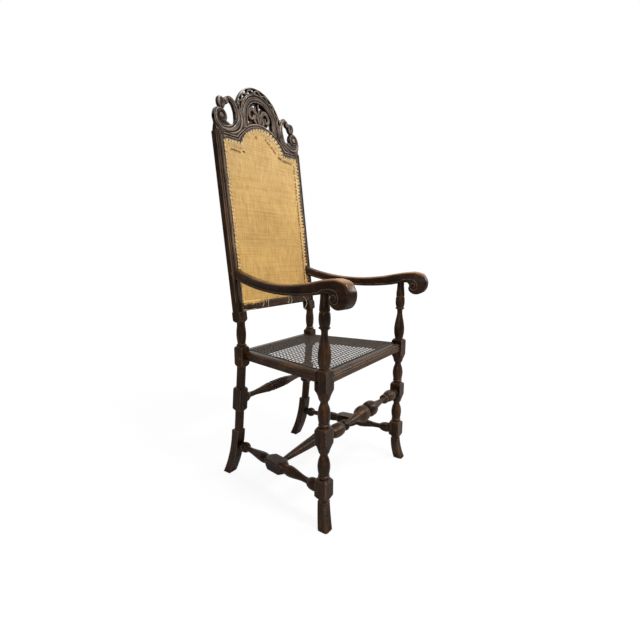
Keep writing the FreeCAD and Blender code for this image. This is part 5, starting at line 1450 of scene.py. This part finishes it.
def arm_outline():
    """The arm's side: its top from the back forward, its scroll, and its underside back again."""
    upper, lower = dipping_arc(*ARM_HIGH), dipping_arc(*ARM_LOW)
    stations = np.linspace(ARM_END, ARM_NOSE_FROM, ARM_STATIONS)
    top = [(along, upper(along)) for along in stations]
    bottom = [(along, lower(along)) for along in reversed(stations)]
    nose = smooth_path((top[-1],) + ARM_NOSE + (bottom[0],), 6)[1:-1]
    return np.array(top + [tuple(place) for place in nose] + bottom)


def arm_half(along):
    """Half the arm's width at a distance back from the leg."""
    taper = np.clip((along - ARM_TAPER_FROM) / (ARM_END - ARM_TAPER_FROM), 0, 1)
    return ARM_HALF + (ARM_END_HALF - ARM_HALF) * taper


def arm_rings(outline):
    """The outline in layers across the arm, its edges rounded, and most of all along the top."""
    run = np.roll(outline, -1, 0) - np.roll(outline, 1, 0)
    inward = np.stack([-run[:, 1], run[:, 0]], 1) / np.linalg.norm(run, axis=1)[:, None]
    upward, forward = np.clip(-inward[:, 1], 0, 1), np.clip(inward[:, 0], 0, 1)
    rounding = ARM_EDGE + ARM_TOP_EDGE * upward + ARM_NOSE_EDGE * forward
    for _ in range(6):
        rounding = (np.roll(rounding, 1) + rounding + np.roll(rounding, -1)) / 3
    half = arm_half(outline[:, 0])
    layers = []
    for turn in np.radians((0, 18, 36, 54, 72, 90)):
        places = outline + inward * (rounding * (1 - math.sin(turn)))[:, None]
        layers.append((half - rounding * (1 - math.cos(turn)), places))
    return [(-across, places) for across, places in layers] + list(reversed(layers))


def arm_bead():
    """The bead's line on the arm's side: along its underside, and round in a scroll."""
    lower = dipping_arc(*ARM_LOW)
    line = [(along, lower(along) + BEAD_SET) for along in np.linspace(*BEAD_RUN, 40)]
    return line + [tuple(place) for place in smooth_path(ARM_BEAD, 5)]


def make_arms():
    outline = arm_outline()
    rings, bead = arm_rings(outline), arm_bead()
    size, stations = len(outline), ARM_STATIONS
    cap = [(k, k + 1, size - 2 - k, size - 1 - k) for k in range(stations - 1)]
    cap.append(tuple(range(stations - 1, size - stations + 1)))
    last = (len(rings) - 1) * size
    skin_faces = ring_quads(0, len(rings), size) + [face[::-1] for face in cap]
    skin_faces += [tuple(k + last for k in face) for face in cap]
    for side, name in SIDES:
        points = []
        for across, places in rings:
            points += [on_arm(side, a, along, z) for a, (along, z) in zip(across, places)]
        faces = skin_faces if side > 0 else [face[::-1] for face in skin_faces]
        arm = new_piece(f"scrolled_arm_{name}", points, faces, arm_wood, 50)
        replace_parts(arm, f"arm_{name}")
        points, faces = [], []
        for face in (-1, 1):
            line = [on_arm(side, face * arm_half(along), along, z) for along, z in bead]
            add_thread(points, faces, line, BEAD_RADIUS * MM, 8)
        new_piece(f"arm_beads_{name}", points, faces, bead_wood, 50)


# The stage

FLOOR_HALF = 12
FLOOR_GREY = 0.5
FLOOR_GLOW = 0.82
GLOW_NEAR, GLOW_MORE_FAR = 1.12, 0.14
FAR_FROM, FAR_RATE = 0.7, 0.4


def make_stage():
    """A floor that takes the chair's shadow, and that the camera sees as white."""
    mesh = bpy.data.meshes.new("floor")
    corners = [(x * FLOOR_HALF, y * FLOOR_HALF, 0) for x, y in ((-1, -1), (1, -1), (1, 1), (-1, 1))]
    mesh.from_pydata(corners, [], [(0, 1, 2, 3)])
    floor = bpy.data.objects.new("floor", mesh)
    bpy.context.scene.collection.objects.link(floor)
    graph = Graph("pale_floor", 0.9, 0)
    graph.set("Base Color", (FLOOR_GREY, FLOOR_GREY, FLOOR_GREY, 1))
    far = graph.math("SUBTRACT", graph.vector_math("LENGTH", graph.place), FAR_FROM)
    far = graph.math("MULTIPLY", far, FAR_RATE, clamp=True)
    strength = graph.math("ADD", graph.math("MULTIPLY", far, GLOW_MORE_FAR), GLOW_NEAR)
    glow = graph.node("ShaderNodeEmission", {"Color": (1, 1, 1, 1), "Strength": strength})
    seen = graph.math("MULTIPLY", graph.node("ShaderNodeLightPath").outputs["Is Camera Ray"], FLOOR_GLOW)
    mixed = graph.node("ShaderNodeMixShader", {0: seen, 1: graph.shader.outputs[0], 2: glow.outputs[0]})
    graph.feed(graph.tree.nodes["Material Output"].inputs["Surface"], mixed.outputs[0])
    mesh.materials.append(graph.material)


# Gloss mirrors white behind the chair, and dimness on the camera's side
BACKDROP_SIDE = (0.82, 0.57, 0)
MIRRORED_DIM = 0.08
AMBIENT = 0.15


def make_world():
    """White to the camera, and dimmer to the light that falls on the chair."""
    world = bpy.data.worlds.new("studio")
    bpy.context.scene.world = world
    world.use_nodes = True
    sky = Tree(world.node_tree)
    rays = sky.node("ShaderNodeLightPath").outputs
    direction = sky.node("ShaderNodeTexCoord").outputs["Generated"]
    toward = sky.vector_math("DOT_PRODUCT", direction, BACKDROP_SIDE)
    mirrored_light = sky.node("ShaderNodeMapRange", {"Value": toward, "From Min": -0.1, "From Max": 0.5,
                                                     "To Min": MIRRORED_DIM, "To Max": 1.0}).outputs[0]
    glossy = sky.math("MULTIPLY", rays["Is Glossy Ray"], mirrored_light)
    seen = sky.math("MAXIMUM", rays["Is Camera Ray"], glossy)
    background = sky.tree.nodes["Background"]
    sky.feed(background.inputs["Color"], (1, 1, 1, 1))
    sky.feed(background.inputs["Strength"], sky.math("MAXIMUM", seen, AMBIENT))


# Each lamp's place, what it aims at, its size and its power
LAMPS = (
    ("key", (-0.2, -2.0, 3.1), (0, 0, 0.7), 0.7, 82),
    ("window", (1.9, -1.8, 1.8), (0, 0, 0.9), 0.6, 24),
    ("fill", (-2.9, -0.9, 1.5), (0, 0, 0.6), 1.2, 18),
    ("top", (0.3, 0.5, 3.4), (0, 0, 0.5), 0.8, 40),
)


def make_lamps():
    for name, place, aim, size, power in LAMPS:
        lamp = bpy.data.lights.new(name, "AREA")
        lamp.shape = "DISK"
        lamp.size = size
        lamp.energy = power
        holder = bpy.data.objects.new(name, lamp)
        holder.location = place
        holder.rotation_euler = (Vector(aim) - Vector(place)).to_track_quat("-Z", "Y").to_euler()
        bpy.context.scene.collection.objects.link(holder)


def make_camera():
    camera = bpy.data.cameras.new("camera")
    camera.sensor_fit = "HORIZONTAL"
    camera.sensor_width = SENSOR_WIDTH
    camera.lens = FOCAL_PIXELS / IMAGE_SIZE * SENSOR_WIDTH
    holder = bpy.data.objects.new("camera", camera)
    forward = Vector((-math.sin(CAMERA_YAW) * math.cos(CAMERA_PITCH),
                      math.cos(CAMERA_YAW) * math.cos(CAMERA_PITCH), math.sin(CAMERA_PITCH)))
    level = Vector((math.cos(CAMERA_YAW), math.sin(CAMERA_YAW), 0))
    upright = level.cross(forward)
    right = level * math.cos(CAMERA_ROLL) + upright * math.sin(CAMERA_ROLL)
    up = upright * math.cos(CAMERA_ROLL) - level * math.sin(CAMERA_ROLL)
    turn = Matrix((right, up, -forward)).transposed().to_4x4()
    holder.matrix_world = Matrix.Translation(CAMERA_PLACE) @ turn
    bpy.context.scene.collection.objects.link(holder)
    bpy.context.scene.camera = holder


make_camera()
make_world()
make_lamps()
make_stage()
dress_nodes()
make_crest()
make_cane()
cloth, cloth_area = make_cloth()
hem = make_hem()
frays = make_frays()
torn, looped = make_torn_bottom()
stitches_and_shade = make_stitches_and_shade()
make_front_legs()
make_stretchers()
make_rails()
make_stile_beads()
make_arms()

bpy.context.scene.view_settings.view_transform = "Standard"
